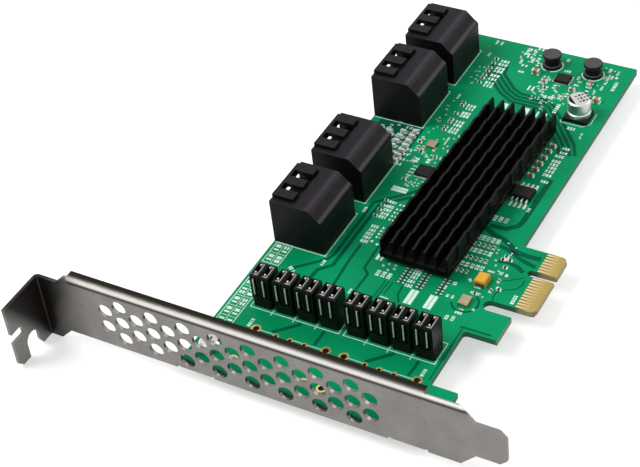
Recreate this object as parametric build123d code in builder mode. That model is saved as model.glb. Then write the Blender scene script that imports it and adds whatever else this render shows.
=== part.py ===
from build123d import *
import math
import os

os.makedirs("parts", exist_ok=True)

# The origin is the middle of the key notch, on the mating end of the edge connector, at the board's
# component face. +X runs away from the bracket, +Y away from the mating end, +Z out of the component face.

# Circuit board
board_thickness = 1.57
board_left = -56.85
board_right = 85.1
board_top = 69.15
board_bottom = 11.8
board_corner_radius = 0.5
inner_corner_radius = 1.0
contact_tongue_left = -12.1
contact_tongue_right = 8.15
tongue_corner = 1.2
mating_bevel = 0.4
key_notch_width = 1.9
key_notch_end = 7.2
slot_width = 3.3
slot_end = 12.35
hook_left = -23.6
hook_end = 4.55
recess_edge = 12.8
left_tab_right = -41.8
left_tab_bottom = 5.8
hole_clearance = 0.06
small_hole_sides = 6
round_hole_sides = 16

# Gold contacts on the edge connector
pad_pitch = 1.0
pad_width = 0.7
pad_inner_end = 5.2
pad_outer_end = 0.5
pad_height = 0.05
key_to_first_pad = 1.5
pads_left_of_key = 11
pads_right_of_key = 7

# Empty connector footprints behind the bracket
shield_hole_radius = 1.1
signal_hole_radius = 0.5
shield_hole_columns = (-52.6, -41.85)
signal_hole_column = -42.25
footprint_centres = (25.15, 48.45)
shield_hole_half_span = 9.3
signal_hole_pitch = 3.75
signal_holes_per_footprint = 3
signal_row_shift = 0.05

# Bracket, one folded sheet
sheet = 0.86
bracket_inner_x = -57.15
face_z_low = -2.43
face_z_high = 15.99
neck_z_low = -5.75
neck_z_high = 13.1
tab_underside_y = 106.65
neck_slant_high_y = 101.2
neck_slant_low_y = 103.4
tongue_z_low = 1.55
tongue_z_high = 11.6
tongue_slant_start = -2.35
tongue_slant_end = -6.1
tongue_end = -13.37
tongue_end_chamfer = 1.7
flange_depth = 2.4
flange_start = 5.5
flange_end = 97.6
plain_edge_z = 15.4
bend_outer_radius = 1.2
bend_inner_radius = 0.34
tab_edge_x = -70.8
tab_corner = 1.4
side_notch_depth = 4.0
side_notch_low = 2.3
side_notch_high = 5.0
screw_notch_x = -64.4
screw_notch_radius = 2.2
screw_notch_centre_z = -1.75
screw_notch_flare = 0.9
vent_radius = 2.0
vent_pitch = 5.0
vent_columns = 17
first_vent_y = 18.8
vent_middle_z = 6.0
vent_sides = 14
foot_length = 11.0
foot_spans = ((6.3, 14.3), (60.7, 69.0))
foot_relief_width = 0.9
foot_relief_depth = 0.6
foot_bend_radius = 0.55

# Screws that hold the board to the bracket's feet
screw_x = -51.1
screw_rows = (10.3, 64.8)
screw_radius = 1.45
screw_head_radius = 2.6
screw_head_height = 1.9
screw_head_bevel = 0.6
screw_sides = 24
screw_end_z = -4.2
screw_clearance = 0.12
recess_length = 2.8
recess_width = 0.6
recess_depth = 0.9

# Double-stack SATA housings
sata_centres = (-5.0, 16.3, 49.2, 69.4)
sata_width = 16.3
sata_depth = 14.1
sata_height = 12.8
sata_rear_height = 9.7
sata_lip_depth = 1.1
sata_lip_height = 10.45
sata_crest_depth = 3.5
sata_hollow_radius = 1.2
sata_crest_radius = 1.3
cavity_width = 12.9
cavity_height = 4.7
cavity_depth = 8.5
bottom_wall = 0.9
middle_wall = 1.2
mouth_setback = 0.05
tongue_width = 10.4
tongue_thickness = 1.2
tongue_rise = 2.4
tongue_setback = 0.9
tongue_key_width = 1.2
tongue_key_drop = 1.2
window_inset = 1.55
window_depth = 6.15
comb_inset = 1.7
comb_height = 0.95
comb_bar_depth = 0.8
finger_length = 5.8
finger_spans = ((1.75, 4.5), (6.7, 9.5), (11.9, 14.3))
finger_sink = 0.2
ports = 2
contacts_per_port = 7
contact_pitch = 1.27
contact_width = 0.6
contact_thickness = 0.2
contact_leg = 0.5
contact_tip_setback = 0.6
leg_setback = (3.3, 1.8)
chamber_wall = 1.2
chamber_depth = 3.0
chamber_headroom = 0.3
peg_radius = 0.8
peg_sides = 12
peg_length = 2.67
peg_offset = 5.6
peg_setback = 7.5

# Pin headers and the jumper caps on them
header_x = -32.6
header_rows = (17.3, 23.15, 28.95, 34.9, 42.0, 47.95, 53.8, 59.85)
pin_pitch = 2.54
pin_width = 0.64
pin_top = 10.15
pin_taper = 0.5
pin_tip_share = 0.5
tail_length = 0.9
header_height = 2.5
header_corner = 0.45
cap_length = 5.0
cap_width = 2.38
cap_top = 9.85
cap_edge = 0.25
cap_end_wall = 0.5
cap_side_wall = 0.42
cap_slot_width = 1.2
cap_slot_low = 2.95
cap_slot_high = 8.8
clip_low = 3.0
clip_high = 9.8
clip_sheet = 0.22
clip_gap = 0.06

# Heatsink, its pad and the controller chip below
heatsink_centre = (20.4, 31.2)
heatsink_length = 61.0
heatsink_width = 18.6
heatsink_turn = -1.85
heatsink_base = 1.7
heatsink_top = 7.2
fins = 7
fin_thickness = 0.62
fin_period = 5.8
fin_long_leg = 4.8
fin_offset = 0.35
controller_side = 14.0
controller_height = 1.2
thermal_pad_height = 0.3

# Other chips
interface_chip_centre = (24.45, 46.25)
interface_chip_size = (4.0, 4.1, 0.9)
regulator_centre = (73.6, 28.55)
regulator_size = (3.5, 4.0, 0.9)
flash_x = 25.5
flash_gap = 0.25
flash_size = (3.9, 4.9, 1.45)
flash_lift = 0.15
flash_span = 7.6
flash_lead_pitch = 1.27
flash_leads_per_side = 4
flash_lead_width = 0.42
flash_lead_thickness = 0.18
flash_lead_foot = 0.7
flash_lead_height = 0.85
pin_one_radius = 0.35
pin_one_depth = 0.06
pin_one_inset = 0.75
pin_one_sides = 8
chip_edge = 0.15

# Power parts
inductor_centres = ((78.7, 33.8), (78.7, 22.0))
inductor_radius = 2.6
inductor_core_radius = 2.1
inductor_foot = 0.9
inductor_cap = 0.8
inductor_height = 4.0
inductor_edge = 0.2
inductor_sides = 28
electrolytic_centre = (60.4, 18.6)
electrolytic_base_side = 6.6
electrolytic_base_height = 1.0
electrolytic_base_corner = 1.3
electrolytic_radius = 3.15
electrolytic_top = 5.8
electrolytic_rim = 0.35
electrolytic_waist = 1.05
electrolytic_groove = 0.25
tantalum_centre = (-7.2, 15.6)
tantalum_size = (3.5, 2.8, 1.9)
tantalum_edge = 0.25
terminal_thickness = 0.15
terminal_height = 1.1
terminal_width = 2.2
crystal_1_centre = (-15.0, 16.5)
crystal_1_size = (3.2, 2.5, 1.2)
crystal_2_centre = (35.1, 49.3)
crystal_2_size = (2.6, 2.6, 0.9)
crystal_lid_inset = 0.25
crystal_lid_height = 0.2

# Chip capacitors and resistors: centre and whether the part lies along Y
large_part = (2.0, 1.3, 1.2)
medium_part = (1.6, 0.8, 0.75)
small_part = (1.0, 0.5, 0.4)
termination_share = 0.22
termination_proud = 0.02
large_places = (
    (73.8, 36.6, True), (73.7, 21.0, False), (67.8, 16.7, True),
)
coupling_row_x = 25.9
coupling_row_pitch = 2.1
coupling_rows = (55.6, 58.6, 62.0)
coupling_counts = (7, 6, 5)
coupling_row_shift = 1.0
medium_places = (
    (33.2, 20.6, True), (35.9, 20.5, True), (38.4, 20.4, True), (41.0, 20.3, True),
    (43.8, 20.2, True), (46.2, 20.0, True), (70.1, 24.6, True), (71.0, 32.9, True),
)
top_row_y = 49.1
top_row = (42.2, 43.4, 45.7, 46.9, 49.7, 53.4, 54.6, 64.5, 66.5, 68.0, 70.0, 71.6, 73.9, 75.9)
lone_small_row = (10.9, 8.9, 7.0, 4.7)
lone_small_y = 50.2
small_array_columns = (4.7, -0.4, -5.4)
small_array_starts = (18.0, 17.8, 20.6)
small_array_counts = (5, 5, 3)
small_array_pitch = 1.3
small_places = (
    (3.2, 13.9, True), (1.9, 14.3, True), (2.2, 12.6, True), (-0.5, 12.7, True),
    (-5.4, 12.2, False), (-8.0, 11.0, True), (-9.2, 12.6, False), (-11.4, 15.6, True),
    (35.2, 52.7, True), (32.9, 51.9, False), (31.6, 50.6, True), (28.3, 51.1, False),
    (33.6, 47.8, False), (30.7, 46.2, True), (20.1, 49.9, True), (18.6, 48.3, False),
    (68.5, 31.7, True), (62.4, 30.2, False), (59.9, 29.2, False), (66.9, 26.0, False),
)

# Sizes that follow from the ones above
bracket_outer_x = bracket_inner_x - sheet
tab_top_y = tab_underside_y + sheet
sata_rear_y = board_top - sata_depth
sata_mouth_y = board_top - mouth_setback
tongue_flat_middle = -tongue_key_width / 2
heatsink_bottom = controller_height + thermal_pad_height
flash_centre = (flash_x, heatsink_centre[1] - heatsink_width / 2 - flash_gap - flash_size[1] / 2)


def block(x_span, y_span, z_span, mode=Mode.ADD):
    """An upright box between two limits on each axis."""
    middle = [(span[0] + span[1]) / 2 for span in (x_span, y_span, z_span)]
    size = [span[1] - span[0] for span in (x_span, y_span, z_span)]
    with Locations(tuple(middle)):
        Box(*size, mode=mode)


def around(middle, size):
    """The two limits of a span from its middle and its size."""
    return (middle - size / 2, middle + size / 2)


def edge_near(builder, axis, point):
    """The edge along an axis that lies nearest to a point."""
    return builder.edges().filter_by(axis).sort_by_distance(point)[0]


def row(count, pitch):
    """Places of a row of like things about zero."""
    return [(i - (count - 1) / 2) * pitch for i in range(count)]


def shield_holes():
    """Ringed holes at the corners of the two empty footprints."""
    places = []
    for column in shield_hole_columns:
        for middle in footprint_centres:
            places.append((column, middle - shield_hole_half_span))
            places.append((column, middle + shield_hole_half_span))
    return places


def signal_holes():
    """Small holes in the rear row of each empty footprint."""
    return [
        (signal_hole_column, middle + signal_row_shift + offset)
        for middle in footprint_centres
        for offset in row(signal_holes_per_footprint, signal_hole_pitch)
    ]


def contact_offsets():
    """X of each contact of a port, from the middle of its housing."""
    return [tongue_flat_middle + offset for offset in row(contacts_per_port, contact_pitch)]


def contact_legs():
    """X and Y of every contact leg, for all housings."""
    return [
        (centre + offset, sata_rear_y + setback)
        for centre in sata_centres
        for setback in leg_setback
        for offset in contact_offsets()
    ]


def peg_places():
    """X and Y of the housings' two pegs each."""
    return [
        (centre + side * peg_offset, sata_rear_y + peg_setback)
        for centre in sata_centres
        for side in (-1, 1)
    ]


def header_pins_at(row_y):
    """X and Y of the four pins of one header."""
    return [(header_x + dx, row_y + dy) for dx in row(2, pin_pitch) for dy in row(2, pin_pitch)]


def cut_holes(places, radius, sides):
    """Add many-sided holes, wide enough for a round pin of the radius, to the sketch in hand."""
    with Locations(*places):
        RegularPolygon(radius, sides, major_radius=False)


def make_circuit_board():
    """Board with its edge connector tongue, key notch, slot, hook and plated holes."""
    corners = [
        (board_left, board_top), (board_right, board_top), (board_right, board_bottom),
        (contact_tongue_right, board_bottom), (contact_tongue_right, 0), (contact_tongue_left, 0),
        (contact_tongue_left, hook_end), (hook_left, hook_end), (hook_left, recess_edge),
        (left_tab_right, recess_edge), (left_tab_right, left_tab_bottom),
        (board_left, left_tab_bottom),
    ]
    pin_hole = math.hypot(pin_width, pin_width) / 2 + hole_clearance
    leg_hole = math.hypot(contact_width, contact_leg) / 2 + hole_clearance
    pin_places = [place for y in header_rows for place in header_pins_at(y)]
    screw_places = [(screw_x, y) for y in screw_rows]
    with BuildPart() as board:
        with BuildSketch(Plane.XY.offset(-board_thickness)) as outline:
            Polygon(*corners, align=None)
            for x, y in corners[2:3] + corners[0:2] + corners[11:12]:
                fillet(outline.vertices().sort_by_distance((x, y, 0))[0], board_corner_radius)
            for x, y in (corners[3], corners[8], corners[9]):
                fillet(outline.vertices().sort_by_distance((x, y, 0))[0], inner_corner_radius)
            for x, y in (corners[4], corners[5]):
                chamfer(outline.vertices().sort_by_distance((x, y, 0))[0], tongue_corner)
            with Locations((contact_tongue_left - slot_width / 2, slot_end - slot_width / 2)):
                Circle(slot_width / 2, mode=Mode.SUBTRACT)
            with Locations((contact_tongue_left - slot_width / 2, slot_end - slot_width / 2)):
                Rectangle(slot_width, slot_end, align=(Align.CENTER, Align.MAX), mode=Mode.SUBTRACT)
            with Locations((0, key_notch_end - key_notch_width / 2)):
                Circle(key_notch_width / 2, mode=Mode.SUBTRACT)
            with Locations((0, key_notch_end - key_notch_width / 2)):
                Rectangle(
                    key_notch_width, key_notch_end, align=(Align.CENTER, Align.MAX), mode=Mode.SUBTRACT
                )
        extrude(amount=board_thickness)
        ends = board.edges().filter_by(Axis.X).group_by(Axis.Y)[0]
        chamfer(ends, mating_bevel)
        with BuildSketch(Plane.XY.offset(-board_thickness)):
            cut_holes(shield_holes(), shield_hole_radius, round_hole_sides)
            cut_holes(signal_holes(), signal_hole_radius, small_hole_sides)
            cut_holes(screw_places, screw_radius + screw_clearance, round_hole_sides)
            cut_holes(pin_places, pin_hole, small_hole_sides)
            cut_holes(contact_legs(), leg_hole, small_hole_sides)
            cut_holes(peg_places(), peg_radius + hole_clearance, peg_sides)
        extrude(amount=board_thickness, mode=Mode.SUBTRACT)
    return board.part


def make_edge_contacts(low, high):
    """Gold pads on one face of the edge connector, either side of the key notch."""
    left = [-key_to_first_pad - i * pad_pitch for i in range(pads_left_of_key)]
    right = [key_to_first_pad + i * pad_pitch for i in range(pads_right_of_key)]
    middle_y = (pad_outer_end + pad_inner_end) / 2
    with BuildPart() as pads:
        with Locations(*[(x, middle_y, (low + high) / 2) for x in left + right]):
            Box(pad_width, pad_inner_end - pad_outer_end, high - low)
    return pads.part


def bracket_outline():
    """The bracket's flat face as points of Y and Z."""
    end_low = (tongue_end, tongue_z_low + tongue_end_chamfer)
    end_high = (tongue_end, tongue_z_high - tongue_end_chamfer)
    neck_high_end = neck_slant_high_y - (face_z_high - neck_z_high)
    neck_low_end = neck_slant_low_y - (face_z_low - neck_z_low)
    return [
        (tab_top_y, neck_z_high), (neck_slant_high_y, neck_z_high), (neck_high_end, face_z_high),
        (flange_start, face_z_high), (flange_start, plain_edge_z),
        (tongue_slant_start, plain_edge_z), (tongue_slant_end, tongue_z_high),
        (tongue_end + tongue_end_chamfer, tongue_z_high), end_high, end_low,
        (tongue_end + tongue_end_chamfer, tongue_z_low), (tongue_slant_end, tongue_z_low),
        (tongue_slant_start, face_z_low), (neck_low_end, face_z_low),
        (neck_slant_low_y, neck_z_low), (tab_top_y, neck_z_low),
    ]


def make_bracket():
    """Ventilated bracket: face, bent stiffening flange, mounting tab and two feet."""
    with BuildPart() as bracket:
        with BuildSketch(Plane.YZ.offset(bracket_outer_x)):
            Polygon(*bracket_outline(), align=None)
            for low, high in foot_spans:
                for y in (low - foot_relief_width / 2, high + foot_relief_width / 2):
                    with Locations((y, face_z_low)):
                        Rectangle(foot_relief_width, 2 * foot_relief_depth, mode=Mode.SUBTRACT)
            for column in range(vent_columns):
                rise = row(3 if column % 2 else 2, vent_pitch)
                y = first_vent_y + column * vent_pitch * math.sin(math.radians(60))
                with Locations(*[(y, vent_middle_z + z) for z in rise]):
                    RegularPolygon(vent_radius, vent_sides, mode=Mode.SUBTRACT)
        extrude(amount=sheet)
        block(
            (bracket_outer_x, bracket_outer_x + flange_depth),
            (flange_start, flange_end),
            (face_z_high - sheet, face_z_high),
        )
        for low, high in foot_spans:
            block(
                (bracket_outer_x, bracket_outer_x + foot_length),
                (low, high),
                (face_z_low, face_z_low + sheet),
            )
        with BuildSketch(Plane.XZ.offset(-tab_top_y)):
            Polygon(*tab_outline(), align=None)
            with Locations((screw_notch_x, screw_notch_centre_z)):
                Circle(screw_notch_radius, mode=Mode.SUBTRACT)
        extrude(amount=sheet)
        middle_y = (flange_start + flange_end) / 2
        bends = [
            (Axis.Y, (bracket_outer_x, middle_y, face_z_high), bend_outer_radius),
            (Axis.Y, (bracket_inner_x, middle_y, face_z_high - sheet), bend_inner_radius),
            (Axis.Z, (bracket_inner_x, tab_top_y, 0), bend_outer_radius),
            (Axis.Z, (bracket_outer_x, tab_underside_y, 0), bend_inner_radius),
        ]
        for low, high in foot_spans:
            foot_y = (low + high) / 2
            bends.append((Axis.Y, (bracket_outer_x, foot_y, face_z_low), foot_bend_radius))
        for axis, point, radius in bends:
            fillet(edge_near(bracket, axis, point), radius)
        with BuildSketch(Plane.XY.offset(face_z_low)):
            cut_holes([(screw_x, y) for y in screw_rows], screw_radius + screw_clearance, round_hole_sides)
        extrude(amount=sheet, mode=Mode.SUBTRACT)
    return bracket.part


def tab_outline():
    """The bent mounting tab as points of X and Z, with its side notch and open screw notch."""
    notch_left = screw_notch_x - screw_notch_radius
    notch_right = screw_notch_x + screw_notch_radius
    return [
        (bracket_inner_x, neck_z_high), (tab_edge_x, neck_z_high), (tab_edge_x, side_notch_high),
        (tab_edge_x + side_notch_depth, side_notch_high),
        (tab_edge_x + side_notch_depth, side_notch_low), (tab_edge_x, side_notch_low),
        (tab_edge_x, neck_z_low + tab_corner), (tab_edge_x + tab_corner, neck_z_low),
        (notch_left, neck_z_low), (notch_left, screw_notch_centre_z),
        (notch_right, screw_notch_centre_z), (notch_right, neck_z_low + 2 * screw_notch_flare),
        (notch_right + screw_notch_flare, neck_z_low), (bracket_inner_x, neck_z_low),
    ]


def make_bracket_screws():
    """Two pan-head screws with a cross recess, through the board and the bracket's feet."""
    with BuildPart() as screws:
        with BuildSketch():
            with Locations(*[(screw_x, y) for y in screw_rows]):
                RegularPolygon(screw_head_radius, screw_sides)
        extrude(amount=screw_head_height)
        chamfer(screws.edges().group_by(Axis.Z)[-1], screw_head_bevel)
        with BuildSketch():
            with Locations(*[(screw_x, y) for y in screw_rows]):
                RegularPolygon(screw_radius, round_hole_sides)
        extrude(amount=screw_end_z)
        for y in screw_rows:
            with Locations((screw_x, y, screw_head_height)):
                Box(recess_length, recess_width, 2 * recess_depth, mode=Mode.SUBTRACT)
                Box(recess_width, recess_length, 2 * recess_depth, mode=Mode.SUBTRACT)
    return screws.part


def port_floor(port):
    """Height of the floor of a port's cavity."""
    return bottom_wall + port * (cavity_height + middle_wall)


def make_sata_housing():
    """Moulded housing with two mouths, L-shaped tongues and a comb of latch fingers on top."""
    left = -sata_width / 2
    right = sata_width / 2
    rear = sata_rear_y
    hollow = (rear + sata_lip_depth, sata_lip_height)
    crest = (rear + sata_crest_depth, sata_height)
    profile = [
        (rear, 0), (rear, sata_rear_height), hollow, crest, (sata_mouth_y, sata_height),
        (sata_mouth_y, 0),
    ]
    back_wall = sata_mouth_y - cavity_depth
    chamber_front = rear + chamber_wall + chamber_depth
    top_contact_z = port_floor(ports - 1) + tongue_rise
    with BuildPart() as housing:
        with BuildSketch(Plane.YZ.offset(left)) as side:
            Polygon(*profile, align=None)
            for corner, radius in ((hollow, sata_hollow_radius), (crest, sata_crest_radius)):
                place = (left, *corner)
                fillet(side.vertices().sort_by_distance(place)[0], radius)
        extrude(amount=sata_width)
        for port in range(ports):
            floor = port_floor(port)
            tongue_z = floor + tongue_rise
            block(
                around(0, cavity_width),
                (back_wall, sata_mouth_y),
                (floor, floor + cavity_height),
                Mode.SUBTRACT,
            )
            block(
                around(0, tongue_width),
                (back_wall, sata_mouth_y - tongue_setback),
                (tongue_z, tongue_z + tongue_thickness),
            )
            block(
                (tongue_width / 2 - tongue_key_width, tongue_width / 2),
                (back_wall, sata_mouth_y - tongue_setback),
                (tongue_z - tongue_key_drop, tongue_z),
            )
            block(
                around(tongue_flat_middle, contacts_per_port * contact_pitch),
                (chamber_front - contact_thickness, back_wall),
                (tongue_z - contact_thickness, tongue_z),
                Mode.SUBTRACT,
            )
        block(
            around(tongue_flat_middle, contacts_per_port * contact_pitch),
            (rear + chamber_wall, chamber_front),
            (0, top_contact_z + chamber_headroom),
            Mode.SUBTRACT,
        )
        top_low = port_floor(ports - 1) + cavity_height
        bar_back = sata_mouth_y - comb_bar_depth
        block(
            (left + window_inset, right - window_inset),
            (sata_mouth_y - window_depth, bar_back),
            (top_low, sata_height),
            Mode.SUBTRACT,
        )
        block(
            (left + comb_inset, right - comb_inset),
            (bar_back, sata_mouth_y),
            (sata_height, sata_height + comb_height),
        )
        for low, high in finger_spans:
            block(
                (left + low, left + high),
                (sata_mouth_y - finger_length, bar_back),
                (sata_height - finger_sink, sata_height + comb_height),
            )
        with BuildSketch():
            with Locations(*[(way * peg_offset, rear + peg_setback) for way in (-1, 1)]):
                RegularPolygon(peg_radius, peg_sides)
        extrude(amount=-peg_length)
    return housing.part


def make_contact(port):
    """One contact of a port, with a blade on the tongue and a leg down through the board."""
    bottom = -board_thickness - tail_length
    tip = sata_mouth_y - tongue_setback - contact_tip_setback
    blade_top = port_floor(port) + tongue_rise
    leg = sata_rear_y + leg_setback[port]
    profile = [
        (leg - contact_leg / 2, bottom), (leg - contact_leg / 2, blade_top), (tip, blade_top),
        (tip, blade_top - contact_thickness),
        (leg + contact_leg / 2, blade_top - contact_thickness), (leg + contact_leg / 2, bottom),
    ]
    with BuildPart() as contact:
        with BuildSketch(Plane.YZ.offset(-contact_width / 2)):
            Polygon(*profile, align=None)
        extrude(amount=contact_width)
    return contact.part


def make_sata_contacts():
    """The contacts of both ports of one housing."""
    singles = [make_contact(port) for port in range(ports)]
    with BuildPart() as contacts:
        with Locations(*[(offset, 0, 0) for offset in contact_offsets()]):
            add(singles)
    return contacts.part


def make_pin_header():
    """Moulded block of one two-by-two header, with clipped corners and pin holes."""
    side = 2 * pin_pitch
    with BuildPart() as header:
        with BuildSketch() as plan:
            Rectangle(side, side)
            chamfer(plan.vertices(), header_corner)
            with GridLocations(pin_pitch, pin_pitch, 2, 2):
                Rectangle(pin_width, pin_width, mode=Mode.SUBTRACT)
        extrude(amount=header_height)
    return header.part


def make_header_pins():
    """Square pins of all headers, pointed at the top, with tails through the board."""
    foot = -board_thickness - tail_length
    taper = math.degrees(math.atan(pin_width * (1 - pin_tip_share) / 2 / pin_taper))
    places = [place for row_y in header_rows for place in header_pins_at(row_y)]
    with BuildPart() as pins:
        with BuildSketch(Plane.XY.offset(foot)):
            with Locations(*places):
                Rectangle(pin_width, pin_width)
        extrude(amount=pin_top - pin_taper - foot)
        with BuildSketch(Plane.XY.offset(pin_top - pin_taper)):
            with Locations(*places):
                Rectangle(pin_width, pin_width)
        extrude(amount=pin_taper, taper=taper)
    return pins.part


def cap_rows():
    """Y of every jumper cap."""
    return [row_y + dy for row_y in header_rows for dy in row(2, pin_pitch)]


def make_jumper_cap():
    """Open-topped cap over two pins, with a slot in the end that faces the bracket."""
    inner_length = cap_length - 2 * cap_end_wall
    inner_width = cap_width - 2 * cap_side_wall
    with BuildPart() as cap:
        block(around(0, cap_length), around(0, cap_width), (header_height, cap_top))
        chamfer(cap.edges().group_by(Axis.Z)[-1], cap_edge)
        block(
            around(0, inner_length), around(0, inner_width), (header_height, cap_top), Mode.SUBTRACT
        )
        block(
            (-cap_length / 2, -inner_length / 2),
            around(0, cap_slot_width),
            (cap_slot_low, cap_slot_high),
            Mode.SUBTRACT,
        )
    return cap.part


def make_clip():
    """Folded metal clip inside one cap: a channel beside its two pins, with a lip in the cap's slot."""
    half = cap_length / 2 - cap_end_wall - clip_gap
    back = cap_side_wall + clip_gap - cap_width / 2
    front = cap_slot_width / 2 - clip_gap
    with BuildPart() as clip:
        block((-half, half), (back, back + clip_sheet), (clip_low, clip_high))
        block((half - clip_sheet, half), (back, -back / 2), (clip_low, clip_high))
        block((-half, clip_sheet - half), (back, front), (clip_low, clip_high))
        block(
            (-cap_length / 2, clip_sheet - half),
            (front - clip_sheet, front),
            (clip_low, cap_slot_high - clip_gap),
        )
    return clip.part


def make_jumper_clips():
    """The clips of all caps."""
    with BuildPart() as clips:
        with Locations(*[(header_x, y, 0) for y in cap_rows()]):
            add(make_clip())
    return clips.part


def fin_outline(middle_y):
    """One corrugated fin in plan: long and short legs that step sideways in turn."""
    half = heatsink_length / 2
    line = []
    x = -half
    while x < half:
        line.append((x, middle_y - fin_offset / 2))
        if x + fin_long_leg < half:
            line.append((x + fin_long_leg, middle_y + fin_offset / 2))
        x += fin_period
    line.append((half, middle_y - fin_offset / 2))
    near = [(x, y - fin_thickness / 2) for x, y in line]
    far = [(x, y + fin_thickness / 2) for x, y in reversed(line)]
    return near + far


def make_heatsink():
    """Base plate with a row of corrugated fins, mounted slightly turned."""
    plane = Plane(
        origin=(heatsink_centre[0], heatsink_centre[1], heatsink_bottom),
        x_dir=(math.cos(math.radians(heatsink_turn)), math.sin(math.radians(heatsink_turn)), 0),
        z_dir=(0, 0, 1),
    )
    fin_pitch = (heatsink_width - fin_thickness - fin_offset) / (fins - 1)
    with BuildPart() as heatsink:
        with BuildSketch(plane):
            Rectangle(heatsink_length, heatsink_width)
        extrude(amount=heatsink_base)
        with BuildSketch(plane.offset(heatsink_base)):
            for middle in row(fins, fin_pitch):
                Polygon(*fin_outline(middle), align=None)
        extrude(amount=heatsink_top - heatsink_bottom - heatsink_base)
    return heatsink.part


def make_slab(centre, size, bottom=0.0):
    """A plain square-edged body on the board."""
    with BuildPart() as slab:
        block(around(centre[0], size[0]), around(centre[1], size[1]), (bottom, bottom + size[2]))
    return slab.part


def make_chip(centre, size, bottom=0.0):
    """A moulded chip with a chamfered top edge and a pin-one dimple."""
    top = bottom + size[2]
    with BuildPart() as chip:
        block(around(centre[0], size[0]), around(centre[1], size[1]), (bottom, top))
        chamfer(chip.edges().group_by(Axis.Z)[-1], chip_edge)
        corner = (
            centre[0] - size[0] / 2 + pin_one_inset,
            centre[1] + size[1] / 2 - pin_one_inset,
        )
        with BuildSketch(Plane.XY.offset(top)):
            with Locations(corner):
                RegularPolygon(pin_one_radius, pin_one_sides)
        extrude(amount=-pin_one_depth, mode=Mode.SUBTRACT)
    return chip.part


def make_flash_leads():
    """Gull-wing leads along both sides of the eight-lead chip."""
    body_half = flash_size[0] / 2
    span_half = flash_span / 2
    knee = span_half - flash_lead_foot
    upper = flash_lead_height
    thin = flash_lead_thickness
    with BuildPart() as leads:
        for side in (-1, 1):
            profile = [
                (side * body_half, upper), (side * (knee - thin), upper),
                (side * knee, upper - thin), (side * (knee + thin), thin),
                (side * span_half, thin), (side * span_half, 0), (side * knee, 0),
                (side * (knee - thin), upper - thin), (side * body_half, upper - thin),
            ]
            for offset in row(flash_leads_per_side, flash_lead_pitch):
                start = flash_centre[1] + offset + flash_lead_width / 2
                with BuildSketch(Plane.XZ.offset(-start)):
                    with Locations((flash_centre[0], 0)):
                        Polygon(*profile, align=None)
                extrude(amount=flash_lead_width)
    return leads.part


def make_inductor(centre):
    """Drum core: a foot, a wound waist and a cap, as one turned form."""
    cap_low = inductor_height - inductor_cap
    layers = (
        (0, inductor_foot, inductor_radius),
        (inductor_foot, cap_low, inductor_core_radius),
        (cap_low, inductor_height, inductor_radius),
    )
    with BuildPart() as inductor:
        for low, high, radius in layers:
            with BuildSketch(Plane.XY.offset(low)):
                with Locations(centre):
                    RegularPolygon(radius, inductor_sides)
            extrude(amount=high - low)
        chamfer(inductor.edges().group_by(Axis.Z)[-1], inductor_edge)
    return inductor.part


def make_electrolytic_base():
    """Square base with two clipped corners under the can."""
    side = electrolytic_base_side
    x, y = electrolytic_centre
    with BuildPart() as base:
        block(around(x, side), around(y, side), (0, electrolytic_base_height))
        clipped = base.edges().filter_by(Axis.Z).group_by(Axis.X)[-1]
        chamfer(clipped, electrolytic_base_corner)
    return base.part


def make_electrolytic_can():
    """Round can standing on the base, with a rolled top edge and a crimped waist."""
    x, y = electrolytic_centre
    height = electrolytic_top - electrolytic_base_height
    radius = electrolytic_radius
    groove = electrolytic_groove
    waist = electrolytic_waist
    rim = electrolytic_rim
    with BuildPart() as can:
        with BuildSketch(Plane.XZ.offset(-y)):
            with Locations((x, electrolytic_base_height)):
                Polygon(
                    (0, 0), (radius, 0), (radius, waist), (radius - groove, waist + groove),
                    (radius - groove, waist + 2 * groove), (radius, waist + 3 * groove),
                    (radius, height - rim), (radius - rim, height), (0, height),
                    align=None,
                )
        revolve(axis=Axis((x, y, 0), (0, 0, 1)))
    return can.part


def make_tantalum():
    """Moulded tantalum capacitor with chamfered top edges."""
    with BuildPart() as body:
        block(
            around(tantalum_centre[0], tantalum_size[0]),
            around(tantalum_centre[1], tantalum_size[1]),
            (0, tantalum_size[2]),
        )
        chamfer(body.edges().group_by(Axis.Z)[-1], tantalum_edge)
    return body.part


def make_tantalum_terminals():
    """Metal tabs folded up both ends of the tantalum capacitor."""
    x, y = tantalum_centre
    half = tantalum_size[0] / 2
    with BuildPart() as terminals:
        for side in (-1, 1):
            inner = x + side * half
            outer = inner + side * terminal_thickness
            block(
                (min(inner, outer), max(inner, outer)),
                around(y, terminal_width),
                (0, terminal_height),
            )
    return terminals.part


def make_crystal(centre, size):
    """Crystal can: a ceramic body with a raised lid."""
    lid_low = size[2] - crystal_lid_height
    lid = (size[0] - 2 * crystal_lid_inset, size[1] - 2 * crystal_lid_inset)
    with BuildPart() as crystal:
        block(around(centre[0], size[0]), around(centre[1], size[1]), (0, lid_low))
        block(around(centre[0], lid[0]), around(centre[1], lid[1]), (lid_low, size[2]))
    return crystal.part


def coupling_places():
    """Rows of capacitors between the two middle housings."""
    places = []
    for number, (y, count) in enumerate(zip(coupling_rows, coupling_counts)):
        start = coupling_row_x + number * coupling_row_shift
        places += [(start + i * coupling_row_pitch, y, True) for i in range(count)]
    return places


def array_places():
    """Columns of small resistors above the edge connector."""
    return [
        (x, start + i * small_array_pitch, False)
        for x, start, count in zip(small_array_columns, small_array_starts, small_array_counts)
        for i in range(count)
    ]


def rows_by_turn(places):
    """Chip places as X and Y, split into those along X and those along Y."""
    return [(turned, [(x, y) for x, y, along_y in places if along_y == turned]) for turned in (False, True)]


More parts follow.
